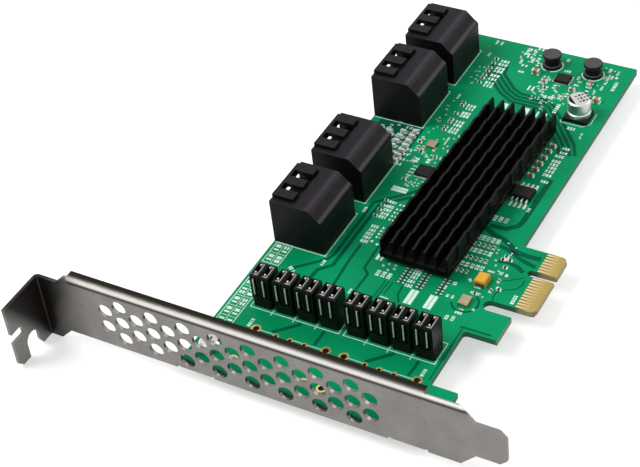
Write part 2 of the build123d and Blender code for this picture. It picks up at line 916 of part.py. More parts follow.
def make_chip_bodies(places, size):
    """Bodies of chip parts between their plated ends."""
    length = size[0] * (1 - 2 * termination_share)
    with BuildPart() as bodies:
        for turned, middles in rows_by_turn(places):
            if middles:
                with Locations(*[(x, y, size[2] / 2) for x, y in middles]):
                    Box(*((size[1], length) if turned else (length, size[1])), size[2])
    return bodies.part


def make_terminations(groups):
    """Plated ends of all chip parts."""
    with BuildPart() as ends:
        for places, size in groups:
            length = size[0] * termination_share
            width = size[1] + 2 * termination_proud
            height = size[2] + termination_proud
            shift = (size[0] - length) / 2
            for turned, middles in rows_by_turn(places):
                if middles:
                    steps = ((0, -shift), (0, shift)) if turned else ((-shift, 0), (shift, 0))
                    with Locations(*[(x + dx, y + dy, height / 2) for x, y in middles for dx, dy in steps]):
                        Box(*((width, length) if turned else (length, width)), height)
    return ends.part


def placed(part, x, y=0.0):
    """A finished piece at its place on the board."""
    return part.moved(Location((x, y, 0)))


def save(part, name):
    """Label a finished piece and write it."""
    part.label = name
    export_step(part, f"parts/{name}.step")


save(make_circuit_board(), "circuit_board")
save(make_edge_contacts(0, pad_height), "edge_contacts_front")
save(make_edge_contacts(-board_thickness - pad_height, -board_thickness), "edge_contacts_back")
save(make_bracket(), "bracket")
save(make_bracket_screws(), "bracket_screws")
sata_housing = make_sata_housing()
sata_contacts = make_sata_contacts()
for number, centre_x in enumerate(sata_centres, start=1):
    save(placed(sata_housing, centre_x), f"sata_housing_{number}")
    save(placed(sata_contacts, centre_x), f"sata_contacts_{number}")
pin_header = make_pin_header()
for number, header_y in enumerate(header_rows, start=1):
    save(placed(pin_header, header_x, header_y), f"pin_header_{number}")
save(make_header_pins(), "header_pins")
jumper_cap = make_jumper_cap()
for number, cap_y in enumerate(cap_rows(), start=1):
    save(placed(jumper_cap, header_x, cap_y), f"jumper_cap_{number:02d}")
save(make_jumper_clips(), "jumper_clips")
save(make_heatsink(), "heatsink")
controller_size = (controller_side, controller_side, controller_height)
thermal_pad_size = (controller_side, controller_side, thermal_pad_height)
save(make_slab(heatsink_centre, controller_size), "controller_chip")
save(make_slab(heatsink_centre, thermal_pad_size, controller_height), "thermal_pad")
save(make_chip(interface_chip_centre, interface_chip_size), "interface_chip")
save(make_chip(regulator_centre, regulator_size), "regulator_chip")
save(make_chip(flash_centre, flash_size, flash_lift), "flash_chip")
save(make_flash_leads(), "flash_leads")
for number, inductor_centre in enumerate(inductor_centres, start=1):
    save(make_inductor(inductor_centre), f"inductor_{number}")
save(make_electrolytic_base(), "electrolytic_base")
save(make_electrolytic_can(), "electrolytic_can")
save(make_tantalum(), "tantalum_capacitor")
save(make_tantalum_terminals(), "tantalum_terminals")
save(make_crystal(crystal_1_centre, crystal_1_size), "crystal_1")
save(make_crystal(crystal_2_centre, crystal_2_size), "crystal_2")
top_row_places = [(x, top_row_y, True) for x in top_row]
lone_places = [(x, lone_small_y, True) for x in lone_small_row]
medium_group = coupling_places() + list(medium_places)
small_group = array_places() + top_row_places + lone_places + list(small_places)
save(make_chip_bodies(large_places, large_part), "large_capacitors")
save(make_chip_bodies(medium_group, medium_part), "chip_capacitors")
save(make_chip_bodies(small_group, small_part), "chip_resistors")
chip_groups = ((large_places, large_part), (medium_group, medium_part), (small_group, small_part))
save(make_terminations(chip_groups), "chip_terminations")
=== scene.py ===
import math
import random

import bmesh
import bpy
from mathutils import Euler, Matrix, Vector


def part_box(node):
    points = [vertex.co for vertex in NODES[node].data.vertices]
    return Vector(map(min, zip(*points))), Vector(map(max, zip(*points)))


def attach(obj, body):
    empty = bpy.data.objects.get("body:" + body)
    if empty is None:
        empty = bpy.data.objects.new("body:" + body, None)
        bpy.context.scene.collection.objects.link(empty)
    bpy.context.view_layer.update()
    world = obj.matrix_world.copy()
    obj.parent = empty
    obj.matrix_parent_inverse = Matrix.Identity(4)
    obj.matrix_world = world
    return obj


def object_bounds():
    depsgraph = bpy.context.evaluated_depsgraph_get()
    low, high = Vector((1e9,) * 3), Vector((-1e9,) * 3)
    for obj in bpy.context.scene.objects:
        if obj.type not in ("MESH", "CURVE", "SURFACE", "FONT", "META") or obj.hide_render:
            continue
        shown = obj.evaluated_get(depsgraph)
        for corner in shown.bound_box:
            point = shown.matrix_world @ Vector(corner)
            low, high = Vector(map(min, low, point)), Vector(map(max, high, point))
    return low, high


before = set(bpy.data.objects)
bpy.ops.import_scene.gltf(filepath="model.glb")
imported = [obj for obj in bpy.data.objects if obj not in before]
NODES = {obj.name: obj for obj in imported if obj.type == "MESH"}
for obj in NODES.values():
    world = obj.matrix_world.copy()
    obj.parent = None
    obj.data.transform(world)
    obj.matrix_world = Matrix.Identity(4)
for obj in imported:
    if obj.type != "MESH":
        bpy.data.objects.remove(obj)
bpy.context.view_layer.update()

MM = 0.001


def box_mm(node):
    """Lowest and highest corner of a CAD node, in millimetres."""
    low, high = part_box(node)
    return [c / MM for c in low], [c / MM for c in high]


# Heights of the thin layers, in millimetres above the board's component face, and the board's back face
PRINT_LOW = -0.005
CHANNEL_HIGH = 0.008
PRINT_HIGH = 0.02
PAD_HIGH = 0.035
BACK = box_mm("circuit_board")[0][2]

# Pieces that repeat
SATA_COUNT = 4
HEADER_COUNT = 8

# Marks on the board, the housings and the bracket that the finishes follow, among them the places of painted
# highlights, reflections and shade
MASK_END_X = -14.0
MASK_END_Y = 5.15
PALE_FIELD_Y = 53.6
SATA_LIP = 0.5
SATA_CREST = 3.7
BRACKET_FACE_X = -58.01
FLANGE_END = 97.6
# Slant of the painted shade on the bracket's tab: fall along X for each rise along Z
TAB_SLANT = 0.68

# Camera, from the photo's vanishing lines
CAMERA_PLACE = (-0.26961, -0.11356, 0.27554)
CAMERA_TURN = (48.594, 5.488, -61.420)
CAMERA_LENS = 95.12
SENSOR_WIDTH = 36.0

# Lamps: place and side in metres, and power in watts; both aim at the middle of the part
PART_MIDDLE = (0.01, 0.04, 0.0)
KEY_LAMP = ((-0.25, 0.55, 0.75), 0.5, 6.6)
FILL_LAMP = ((0.55, -0.35, 0.6), 0.6, 3.0)

# Strength of the surroundings as light, and how far the floor is lifted towards white where it is seen
WORLD_LIGHT = 0.40
FLOOR_WHITE = 0.55
# The floor's own grey, and its side and its distance below the part in metres
FLOOR_GREY = 0.6
FLOOR_SIDE = 6.0
FLOOR_GAP = 0.0002


def node_tree(owner):
    """The nodes and links of a material or a world, switched on."""
    owner.use_nodes = True
    return owner.node_tree.nodes, owner.node_tree.links


def fill_inputs(node, values):
    """Set inputs of a node by name."""
    for name, value in values.items():
        node.inputs[name].default_value = value


class Surface:
    """A node material, with the few building blocks that the finishes share."""

    def __init__(self, name, roughness=0.5, metallic=0.0, colour=(0.5, 0.5, 0.5), specular=0.5):
        self.material = bpy.data.materials.new(name)
        self.nodes, self.links = node_tree(self.material)
        self.shader = self.nodes["Principled BSDF"]
        fill_inputs(self.shader, {"Base Color": (*colour, 1), "Roughness": roughness})
        fill_inputs(self.shader, {"Metallic": metallic, "Specular IOR Level": specular})
        self.place = self.nodes.new("ShaderNodeTexCoord").outputs["Object"]

    def stretch(self, scale):
        """Object coordinates scaled by axis, for noise with a grain."""
        mapping = self.nodes.new("ShaderNodeMapping")
        mapping.inputs["Scale"].default_value = scale
        self.links.new(self.place, mapping.inputs["Vector"])
        return mapping.outputs["Vector"]

    def noise(self, per_mm, detail=2.0, vector=None):
        """Noise with so many lumps to the millimetre."""
        node = self.nodes.new("ShaderNodeTexNoise")
        fill_inputs(node, {"Scale": per_mm / MM, "Detail": detail})
        self.links.new(vector or self.place, node.inputs["Vector"])
        return node.outputs["Fac"]

    def math(self, operation, first, second=0.0):
        """One step of arithmetic on outputs or plain numbers."""
        node = self.nodes.new("ShaderNodeMath")
        node.operation = operation
        for socket, value in zip(node.inputs, (first, second)):
            if isinstance(value, (int, float)):
                socket.default_value = value
            else:
                self.links.new(value, socket)
        return node.outputs["Value"]

    def remap(self, value, from_low, from_high, to_low=0.0, to_high=1.0):
        """A value moved from one range to another, and held at its ends."""
        node = self.nodes.new("ShaderNodeMapRange")
        fill_inputs(node, {"From Min": from_low, "From Max": from_high, "To Min": to_low, "To Max": to_high})
        self.links.new(value, node.inputs["Value"])
        return node.outputs["Result"]

    def mix(self, factor, first, second):
        """A blend of two colours, each an output or red, green and blue."""
        node = self.nodes.new("ShaderNodeMix")
        node.data_type = "RGBA"
        self.links.new(factor, node.inputs["Factor"])
        for socket, value in ((node.inputs["A"], first), (node.inputs["B"], second)):
            if isinstance(value, tuple):
                socket.default_value = (*value, 1)
            else:
                self.links.new(value, socket)
        return node.outputs["Result"]

    def axis(self, output, name):
        """One coordinate of a vector."""
        node = self.nodes.new("ShaderNodeSeparateXYZ")
        self.links.new(output, node.inputs["Vector"])
        return node.outputs[name]

    def along(self, name, start, end, to_start=0.0, to_end=1.0):
        """A value that runs between two places on an axis, in millimetres."""
        return self.remap(self.axis(self.place, name), start * MM, end * MM, to_start, to_end)

    def facing(self, name):
        """How far the surface faces along an axis."""
        return self.axis(self.nodes.new("ShaderNodeNewGeometry").outputs["Normal"], name)

    def band(self, value, middle, half):
        """One at the middle of a range of values, falling to nought at its two ends, in millimetres."""
        away = self.math("ABSOLUTE", self.math("SUBTRACT", value, middle * MM))
        return self.remap(away, 0.2 * half * MM, half * MM, 1.0, 0.0)

    def edge(self, radius_mm):
        """One at sharp edges, falling to nought on flat faces."""
        bevel = self.nodes.new("ShaderNodeBevel")
        bevel.samples = 6
        bevel.inputs["Radius"].default_value = radius_mm * MM
        turned = self.nodes.new("ShaderNodeVectorMath")
        turned.operation = "DOT_PRODUCT"
        self.links.new(bevel.outputs["Normal"], turned.inputs[0])
        self.links.new(self.nodes.new("ShaderNodeNewGeometry").outputs["Normal"], turned.inputs[1])
        return self.remap(turned.outputs["Value"], 0.75, 0.99, 1.0, 0.0)

    def colour(self, output):
        self.links.new(output, self.shader.inputs["Base Color"])

    def roughness(self, output):
        self.links.new(output, self.shader.inputs["Roughness"])

    def relief(self, height, depth_mm, edge_mm=0.0):
        """Fine relief from a height, over edges rounded by edge_mm."""
        bump = self.nodes.new("ShaderNodeBump")
        bump.inputs["Distance"].default_value = depth_mm * MM
        self.links.new(height, bump.inputs["Height"])
        if edge_mm:
            bevel = self.nodes.new("ShaderNodeBevel")
            bevel.samples = 4
            bevel.inputs["Radius"].default_value = edge_mm * MM
            self.links.new(bevel.outputs["Normal"], bump.inputs["Normal"])
        self.links.new(bump.outputs["Normal"], self.shader.inputs["Normal"])
        return self.material


def board_finish():
    """Green solder mask over woven laminate, with bare laminate at the edges and the contacts."""
    s = Surface("solder_mask", roughness=0.34, specular=0.05)
    mask = s.mix(s.remap(s.noise(0.05, 3), 0.35, 0.65), (0.001, 0.245, 0.092), (0.002, 0.305, 0.122))
    mask = s.mix(s.remap(s.noise(2.5, 2), 0.3, 0.8, 0.0, 0.16), mask, (0.001, 0.14, 0.06))
    flat = s.remap(s.math("ABSOLUTE", s.facing("Z")), 0.2, 0.6)
    laminate = s.mix(s.noise(4.0, 2, s.stretch((1, 1, 6))), (0.02, 0.13, 0.07), (0.05, 0.20, 0.11))
    laminate = s.mix(s.along("Y", MASK_END_Y - 1.15, MASK_END_Y + 0.05), (0.34, 0.33, 0.20), laminate)
    bare = s.mix(s.along("Y", MASK_END_Y - 2.75, MASK_END_Y - 0.75), (0.50, 0.39, 0.15), (0.10, 0.05, 0.015))
    near_end = s.along("Y", MASK_END_Y, MASK_END_Y + 0.15, 1.0, 0.0)
    past_hook = s.along("X", MASK_END_X - 0.5, MASK_END_X)
    face = s.mix(s.math("MULTIPLY", near_end, past_hook), mask, bare)
    s.colour(s.mix(flat, laminate, face))
    s.roughness(s.remap(s.noise(0.4, 3), 0.3, 0.7, 0.28, 0.42))
    weave = s.math("ADD", s.noise(1.6, 2, s.stretch((1, 4, 1))), s.noise(1.6, 2, s.stretch((4, 1, 1))))
    return s.relief(weave, 0.012)


def metal_finish(name, colour, dark, roughness, edge_mm=0.0, depth_mm=0.01):
    """Metal with fine grain, faint patches and slightly uneven gloss."""
    s = Surface(name, roughness=roughness, metallic=1.0, colour=colour)
    grain = s.noise(3.0, 4)
    tone = s.mix(s.remap(s.noise(0.12, 3), 0.3, 0.7), dark, colour)
    s.colour(s.mix(s.remap(grain, 0.35, 0.75, 0.0, 0.35), tone, dark))
    s.roughness(s.remap(grain, 0.3, 0.7, roughness - 0.06, roughness + 0.08))
    return s.relief(grain, depth_mm, edge_mm)


def bracket_finish():
    """Dull plated steel, with painted reflections across the flange's bend, and painted shade near the tab's
    bend and on the tab.
    """
    s = Surface("bracket_plate", roughness=0.40, metallic=1.0)
    streaks = s.noise(3.0, 4, s.stretch((0.6, 0.15, 0.6)))
    tone = s.mix(s.remap(s.noise(0.12, 3), 0.3, 0.7), (0.20, 0.19, 0.18), (0.26, 0.25, 0.235))
    tone = s.mix(s.remap(streaks, 0.35, 0.75, 0.0, 0.3), tone, (0.19, 0.18, 0.17))
    x, z = s.axis(s.place, "X"), s.axis(s.place, "Z")
    outer_corner = BRACKET_FACE_X + box_mm("bracket")[1][2]
    round_bend = s.math("SUBTRACT", s.math("ADD", x, z), outer_corner * MM)
    # Painted reflections across the flange's bend: a dark line on the face below it, a bright highlight on
    # the bend, and dark stripes on the flange's top towards the board
    painted_bend_reflections = s.mix(s.band(round_bend, -1.6, 0.8), tone, (0.05, 0.045, 0.04))
    painted_bend_reflections = s.mix(s.band(round_bend, -0.5, 0.95), painted_bend_reflections, (0.74, 0.72, 0.69))
    painted_bend_reflections = s.mix(s.remap(round_bend, -0.1 * MM, 0.5 * MM), painted_bend_reflections, (0.055, 0.05, 0.043))
    painted_bend_reflections = s.mix(s.remap(round_bend, 0.6 * MM, 1.5 * MM), painted_bend_reflections, (0.018, 0.016, 0.012))
    # The painted reflections lie on the flange only, up to its end
    tone = s.mix(s.along("Y", FLANGE_END + 0.3, FLANGE_END), tone, painted_bend_reflections)
    # Painted shade on the face near the tab's bend, past the flange's end
    tone = s.mix(s.along("Y", FLANGE_END - 4, FLANGE_END + 7), tone, (0.030, 0.026, 0.023))
    # Painted shade on the tab: darkest near its bend, along a slant, and paler further out
    slant = s.math("ADD", x, s.math("MULTIPLY", z, TAB_SLANT))
    shade = s.remap(slant, (BRACKET_FACE_X - 2.2) * MM, (BRACKET_FACE_X - 6.6) * MM)
    tab = s.mix(shade, (0.035, 0.031, 0.028), (0.205, 0.20, 0.19))
    s.colour(s.mix(s.along("X", BRACKET_FACE_X - 0.1, BRACKET_FACE_X - 0.6), tone, tab))
    s.roughness(s.remap(streaks, 0.3, 0.7, 0.34, 0.48))
    return s.relief(streaks, 0.006, 0.08)


def housing_finish():
    """Moulded black housing, with painted light: paler top faces, painted highlights along the lip and the
    crest of the rear slope, and on its softly rounded edges.
    """
    s = Surface("housing_black", roughness=0.42, specular=0.10)
    grain = s.noise(5.0, 3)
    rear = box_mm("sata_housing_1")[0][1]
    y = s.axis(s.place, "Y")
    up = s.remap(s.facing("Z"), 0.25, 0.6)
    # Painted light: faces that point straight up are paler
    top = s.mix(s.remap(s.facing("Z"), 0.85, 1.0), (0.004, 0.004, 0.005), (0.013, 0.011, 0.014))
    # Painted highlights on upward faces: a stripe along the lip and a wider one along the crest of the rear
    # slope
    lip = s.math("MULTIPLY", up, s.band(y, rear + SATA_LIP, 0.75))
    crest = s.math("MULTIPLY", up, s.band(y, rear + SATA_CREST, 1.3))
    tone = s.mix(s.remap(lip, 0.0, 1.0, 0.0, 0.9), top, (0.060, 0.056, 0.062))
    tone = s.mix(s.remap(crest, 0.0, 1.0, 0.0, 0.8), tone, (0.045, 0.038, 0.048))
    # Painted highlight along the rounded edges
    tone = s.mix(s.remap(s.edge(0.25), 0.0, 1.0, 0.0, 0.7), tone, (0.034, 0.032, 0.037))
    s.colour(s.mix(s.remap(grain, 0.4, 0.8, 0.0, 0.3), tone, (0.003, 0.003, 0.003)))
    s.roughness(s.remap(s.noise(0.5, 3), 0.3, 0.7, 0.36, 0.50))
    return s.relief(grain, 0.02, 0.14)


def finger_finish():
    """Gold contacts, with a painted highlight that makes them paler towards the end where they leave the
    mask.
    """
    s = Surface("contact_gold", roughness=0.32, metallic=0.9)
    grain = s.noise(3.0, 3)
    # Painted highlight: the gold pales towards the mask's end
    gold = s.mix(s.along("Y", MASK_END_Y - 3.65, MASK_END_Y - 0.55), (0.48, 0.35, 0.10), (0.80, 0.64, 0.34))
    s.colour(s.mix(s.remap(grain, 0.35, 0.75, 0.0, 0.3), gold, (0.40, 0.28, 0.08)))
    return s.relief(grain, 0.006)


def solder_finish():
    """Bright solder and tinned copper, half matt."""
    s = Surface("solder", roughness=0.35, metallic=0.45)
    s.colour(s.mix(s.remap(s.noise(1.5, 3), 0.3, 0.7), (0.62, 0.66, 0.62), (0.86, 0.88, 0.84)))
    return s.relief(s.noise(5.0, 2), 0.01, 0.04)


def clip_finish():
    """Sprung sheet, bright on top, with painted shade on the faces turned towards the bracket, down in the
    slot.
    """
    s = Surface("clip_plate", roughness=0.30, metallic=0.8)
    grain = s.noise(4.0, 3)
    bright = s.mix(s.remap(grain, 0.35, 0.75), (0.46, 0.46, 0.45), (0.28, 0.28, 0.27))
    # Painted shade: faces turned towards the bracket are near black
    s.colour(s.mix(s.remap(s.facing("X"), -0.8, -0.4), (0.004, 0.006, 0.005), bright))
    return s.relief(grain, 0.006, 0.03)


def capacitor_finish():
    """Tan ceramic, and paler parts in the field between the second and third housings."""
    s = Surface("capacitor_ceramic", roughness=0.4, specular=0.4)
    tan = s.mix(s.remap(s.noise(1.8, 3), 0.35, 0.7), (0.22, 0.14, 0.06), (0.36, 0.24, 0.11))
    pale = s.mix(s.remap(s.noise(2.4, 2), 0.3, 0.7), (0.40, 0.52, 0.48), (0.72, 0.80, 0.76))
    s.colour(s.mix(s.along("Y", PALE_FIELD_Y, PALE_FIELD_Y + 0.1), tan, pale))
    return s.relief(s.noise(6.0, 2), 0.01, 0.08)


def plastic_finish(name, colour, top, roughness, edge_mm=0.12, per_mm=5.0, specular=0.12):
    """Moulded plastic: fine spark texture, painted light on top faces in a paler top colour, and a painted
    highlight on the softly rounded edges.
    """
    s = Surface(name, roughness=roughness, specular=specular)
    grain = s.noise(per_mm, 3)
    # Painted light: faces turned up take the paler top colour
    base = s.mix(s.remap(s.facing("Z"), 0.7, 1.0), colour, top)
    # Painted highlight on the rounded edges, paler still than the top colour
    base = s.mix(s.remap(s.edge(2 * edge_mm), 0.0, 1.0, 0.0, 0.8), base, tuple(2.6 * c for c in top))
    shade = tuple(c * 0.6 for c in colour)
    s.colour(s.mix(s.remap(grain, 0.4, 0.8, 0.0, 0.4), base, shade))
    s.roughness(s.remap(s.noise(0.5, 3), 0.3, 0.7, roughness - 0.06, roughness + 0.08))
    return s.relief(grain, 0.02, edge_mm)


def ceramic_finish(name, colour, dark, roughness=0.4, specular=0.4):
    """Fired ceramic, resin or thin lacquer with faint mottling."""
    s = Surface(name, roughness=roughness, specular=specular)
    s.colour(s.mix(s.remap(s.noise(1.8, 3), 0.35, 0.7), dark, colour))
    return s.relief(s.noise(6.0, 2), 0.01, 0.08)


def print_finish():
    """Silk-screened ink, thin enough for a little mask to show through."""
    s = Surface("silk_ink", roughness=0.55, specular=0.3)
    s.colour(s.mix(s.remap(s.noise(3.0, 3), 0.35, 0.75), (0.76, 0.92, 0.84), (0.48, 0.76, 0.62)))
    return s.relief(s.noise(8.0, 2), 0.006)


FINISHES = {
    "board": board_finish(),
    "channel": ceramic_finish(
        "darker_mask", (0.001, 0.115, 0.060), (0.001, 0.085, 0.044), roughness=0.34, specular=0.03
    ),
    "gold": metal_finish("gold_plate", (0.84, 0.66, 0.26), (0.66, 0.48, 0.16), 0.30),
    "finger": finger_finish(),
    "barrel": ceramic_finish("barrel_shade", (0.045, 0.040, 0.018), (0.018, 0.020, 0.010), 0.5, 0.2),
    # The tantalum capacitor's metal terminals, darkened as painted shade at its foot
    "terminal_shade": metal_finish("painted_terminal_shade", (0.22, 0.20, 0.16), (0.12, 0.11, 0.08), 0.45),
    "bracket": bracket_finish(),
    "screw": metal_finish("screw_plate", (0.74, 0.73, 0.70), (0.52, 0.51, 0.49), 0.22, edge_mm=0.1),
    "pin": metal_finish("pin_plate", (0.86, 0.83, 0.76), (0.66, 0.62, 0.54), 0.25, edge_mm=0.05),
    "clip": clip_finish(),
    "tin": solder_finish(),
    "can": metal_finish(
        "can_metal", (0.66, 0.67, 0.65), (0.56, 0.57, 0.55), 0.34, edge_mm=0.1, depth_mm=0.001
    ),
    "crystal": metal_finish("crystal_lid", (0.52, 0.44, 0.29), (0.40, 0.34, 0.22), 0.38, edge_mm=0.06),
    "heatsink": plastic_finish(
        "heatsink_black", (0.0012, 0.0012, 0.0012), (0.013, 0.013, 0.013), 0.42, 0.08, specular=0.05
    ),
    "housing": housing_finish(),
    "moulding": plastic_finish("base_black", (0.004, 0.004, 0.004), (0.009, 0.009, 0.010), 0.40, 0.10),
    "header": plastic_finish("header_black", (0.003, 0.003, 0.003), (0.006, 0.006, 0.006), 0.45, 0.08),
    "cap": plastic_finish("cap_black", (0.002, 0.002, 0.002), (0.006, 0.006, 0.006), 0.30, 0.10),
    "chip": plastic_finish(
        "chip_epoxy", (0.008, 0.009, 0.009), (0.014, 0.016, 0.016), 0.50, 0.06, per_mm=9.0
    ),
    "inductor": plastic_finish(
        "ferrite", (0.006, 0.006, 0.006), (0.075, 0.073, 0.070), 0.50, 0.12, per_mm=6.0
    ),
    "pad": plastic_finish("pad_rubber", (0.20, 0.20, 0.20), (0.22, 0.22, 0.22), 0.8, 0.05),
    "tantalum": ceramic_finish("tantalum_resin", (0.80, 0.42, 0.028), (0.66, 0.31, 0.015), 0.35),
    "capacitor": capacitor_finish(),
    "resistor": ceramic_finish("resistor_glaze", (0.022, 0.024, 0.022), (0.010, 0.011, 0.010), 0.3, 0.2),
    "print": print_finish(),
}

NODE_FINISH = {
    "circuit_board": "board", "bracket": "bracket", "bracket_screws": "screw", "header_pins": "pin",
    "jumper_clips": "clip", "heatsink": "heatsink", "controller_chip": "chip", "thermal_pad": "pad",
    "interface_chip": "chip", "regulator_chip": "chip", "flash_chip": "chip", "flash_leads": "tin",
    "electrolytic_base": "moulding", "electrolytic_can": "can", "tantalum_capacitor": "tantalum",
    "tantalum_terminals": "terminal_shade", "large_capacitors": "capacitor", "chip_capacitors": "capacitor",
    "chip_resistors": "resistor", "chip_terminations": "tin",
}
# Finishes of the nodes that come in numbers, or as a front and a back
FAMILY_FINISH = {
    "sata_housing": "housing", "sata_contacts": "gold", "pin_header": "header", "jumper_cap": "cap",
    "edge_contacts": "finger", "inductor": "inductor", "crystal": "crystal",
}


def dress_nodes():
    """Give every CAD node its finish."""
    for name, node in NODES.items():
        finish = NODE_FINISH.get(name) or FAMILY_FINISH[name.rsplit("_", 1)[0]]
        node.data.materials.clear()
        node.data.materials.append(FINISHES[finish])


def add_piece(name, mesh_builder, finish="print"):
    """Add one mesh object that rides on the part."""
    mesh = bpy.data.meshes.new(name)
    mesh_builder.normal_update()
    mesh_builder.to_mesh(mesh)
    mesh_builder.free()
    mesh.materials.append(FINISHES[finish])
    piece = bpy.data.objects.new(name, mesh)
    bpy.context.scene.collection.objects.link(piece)
    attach(piece, "root")


def solids_of(node):
    """Lowest and highest corner, in millimetres, of each separate solid of a CAD node."""
    bm = bmesh.new()
    bm.from_mesh(NODES[node].data)
    bmesh.ops.remove_doubles(bm, verts=bm.verts, dist=0.001 * MM)
    unseen = set(bm.verts)
    boxes = []
    while unseen:
        waiting = [unseen.pop()]
        corners = []
        while waiting:
            vert = waiting.pop()
            corners.append(vert.co / MM)
            for edge in vert.link_edges:
                other = edge.other_vert(vert)
                if other in unseen:
                    unseen.remove(other)
                    waiting.append(other)
        boxes.append([[pick(axis) for axis in zip(*corners)] for pick in (min, max)])
    bm.free()
    return sorted(boxes)


def plan_middle(low, high):
    """X and Y of the middle of a box."""
    return (low[0] + high[0]) / 2, (low[1] + high[1]) / 2


def add_prism(bm, outline, low, high):
    """Close a plan outline of X and Y in millimetres between two heights."""
    lower = [bm.verts.new((x * MM, y * MM, low * MM)) for x, y in outline]
    upper = [bm.verts.new((x * MM, y * MM, high * MM)) for x, y in outline]
    bm.faces.new(list(reversed(lower)))
    bm.faces.new(upper)
    for i in range(len(outline)):
        k = (i + 1) % len(outline)
        bm.faces.new((lower[i], lower[k], upper[k], upper[i]))


def add_plate(bm, left, right, front, back, low=PRINT_LOW, high=PRINT_HIGH):
    """A flat plate between limits on X and Y."""
    add_prism(bm, box_path(left, right, front, back), low, high)


def add_bar(bm, x, y, length, width, degrees=0.0, low=PRINT_LOW, high=PRINT_HIGH):
    """A thin bar about its middle, turned in plan."""
    turn = math.radians(degrees)
    along = Vector((math.cos(turn), math.sin(turn))) * length / 2
    across = Vector((-math.sin(turn), math.cos(turn))) * width / 2
    middle = Vector((x, y))
    corners = (
        middle - along - across, middle + along - across,
        middle + along + across, middle - along + across,
    )
    add_prism(bm, [tuple(c) for c in corners], low, high)


def add_pad(bm, x, y, length, width, degrees=0.0):
    """A tinned pad about its middle, turned in plan."""
    add_bar(bm, x, y, length, width, degrees, PRINT_LOW, PAD_HIGH)


def beside(path, shift, closed=False):
    """A path moved sideways, to its left, with its corners kept sharp."""
    points = [Vector(p) for p in path]
    count = len(points)
    normals = []
    for i in range(count if closed else count - 1):
        run = (points[(i + 1) % count] - points[i]).normalized()
        normals.append(Vector((-run.y, run.x)))
    moved = []
    for i, point in enumerate(points):
        if closed:
            before, after = normals[i - 1], normals[i]
        else:
            before, after = normals[max(i - 1, 0)], normals[min(i, count - 2)]
        moved.append(tuple(point + (before + after) * shift / (1 + before.dot(after))))
    return moved


def add_strip(bm, path, width, closed=False, low=PRINT_LOW, high=PRINT_HIGH):
    """A line of even width along a path, as a thin closed plate."""
    sides = (beside(path, width / 2, closed), beside(path, -width / 2, closed))
    rails = [
        [bm.verts.new((x * MM, y * MM, z * MM)) for x, y in side]
        for side, z in ((sides[0], low), (sides[1], low), (sides[1], high), (sides[0], high))
    ]
    count = len(path)
    for i in range(count if closed else count - 1):
        k = (i + 1) % count
        for a, b in zip(rails, rails[1:] + rails[:1]):
            bm.faces.new((a[i], a[k], b[k], b[i]))
    if not closed:
        bm.faces.new([rail[0] for rail in rails])
        bm.faces.new([rail[-1] for rail in reversed(rails)])


def box_path(left, right, low, high):
    """The corners of a rectangle."""
    return [(left, low), (right, low), (right, high), (left, high)]


def arc_path(x, y, radius, start, end, steps):
    """Points along an arc, from angles in degrees."""
    turns = [math.radians(start + (end - start) * i / steps) for i in range(steps + 1)]
    return [(x + radius * math.cos(t), y + radius * math.sin(t)) for t in turns]


def add_ring(bm, x, y, inner, outer, low, high, steps=24):
    """A flat ring between two heights."""
    path = arc_path(x, y, (inner + outer) / 2, 0, 360, steps)[:-1]
    add_strip(bm, path, outer - inner, True, low, high)


# Marks of a caption: their pitch as a share of the height, and their widths as shares of that pitch
MARK_PITCH = 0.8
BLOCK_SHARE = 0.74
PAIR_SHARE = 0.78
STROKE_SHARE = 0.42
# A pair of marks: the height of each and how far off the middle it lies, as shares of the full height
PAIR_HEIGHT = 0.4
PAIR_OFFSET = 0.29


def add_caption(bm, rng, x, y, length, height, degrees):
    """A generic printed reference: a short row of blocks and strokes that spell nothing."""
    turn = math.radians(degrees)
    count = max(2, round(length / (MARK_PITCH * height)))
    step = length / count
    for i in range(count):
        shift = (i + 0.5) * step - length / 2
        cx = x + shift * math.cos(turn)
        cy = y + shift * math.sin(turn)
        kind = rng.randrange(3)
        if kind == 0:
            add_bar(bm, cx, cy, step * BLOCK_SHARE, height, degrees)
        elif kind == 1:
            for side in (-1, 1):
                off = side * height * PAIR_OFFSET
                add_bar(bm, cx - off * math.sin(turn), cy + off * math.cos(turn),
                        step * PAIR_SHARE, height * PAIR_HEIGHT, degrees)
        else:
            add_bar(bm, cx, cy, step * STROKE_SHARE, height, degrees)


# Outlines round the housings and the headers
OUTLINE_GAP = 0.4
OUTLINE_WIDTH = 0.2
HEADER_OUTLINE_LEFT = 0.7
HEADER_OUTLINE_RIGHT = 1.3
TICK_LENGTH = 0.9
# The broken line beside the small holes of the empty footprints: its X, its width and the ends of each piece
SIGNAL_LINE_X = -41.9
SIGNAL_LINE_WIDTH = 0.16
SIGNAL_LINE_SPANS = (
    (16.8, 21.6), (22.2, 25.2), (29.6, 33.4), (40.4, 44.3), (44.9, 48.0), (52.4, 56.8),
)


def print_housing_outlines():
    """Lines behind the SATA housings and beside them."""
    bm = bmesh.new()
    for number in range(1, SATA_COUNT + 1):
        low, high = box_mm(f"sata_housing_{number}")
        left, right = low[0] - OUTLINE_GAP, high[0] + OUTLINE_GAP
        rear, front = low[1] - OUTLINE_GAP, high[1] - OUTLINE_GAP
        add_strip(bm, [(left, front), (left, rear), (right, rear), (right, front)], OUTLINE_WIDTH)
    add_piece("silk_housing_outlines", bm)


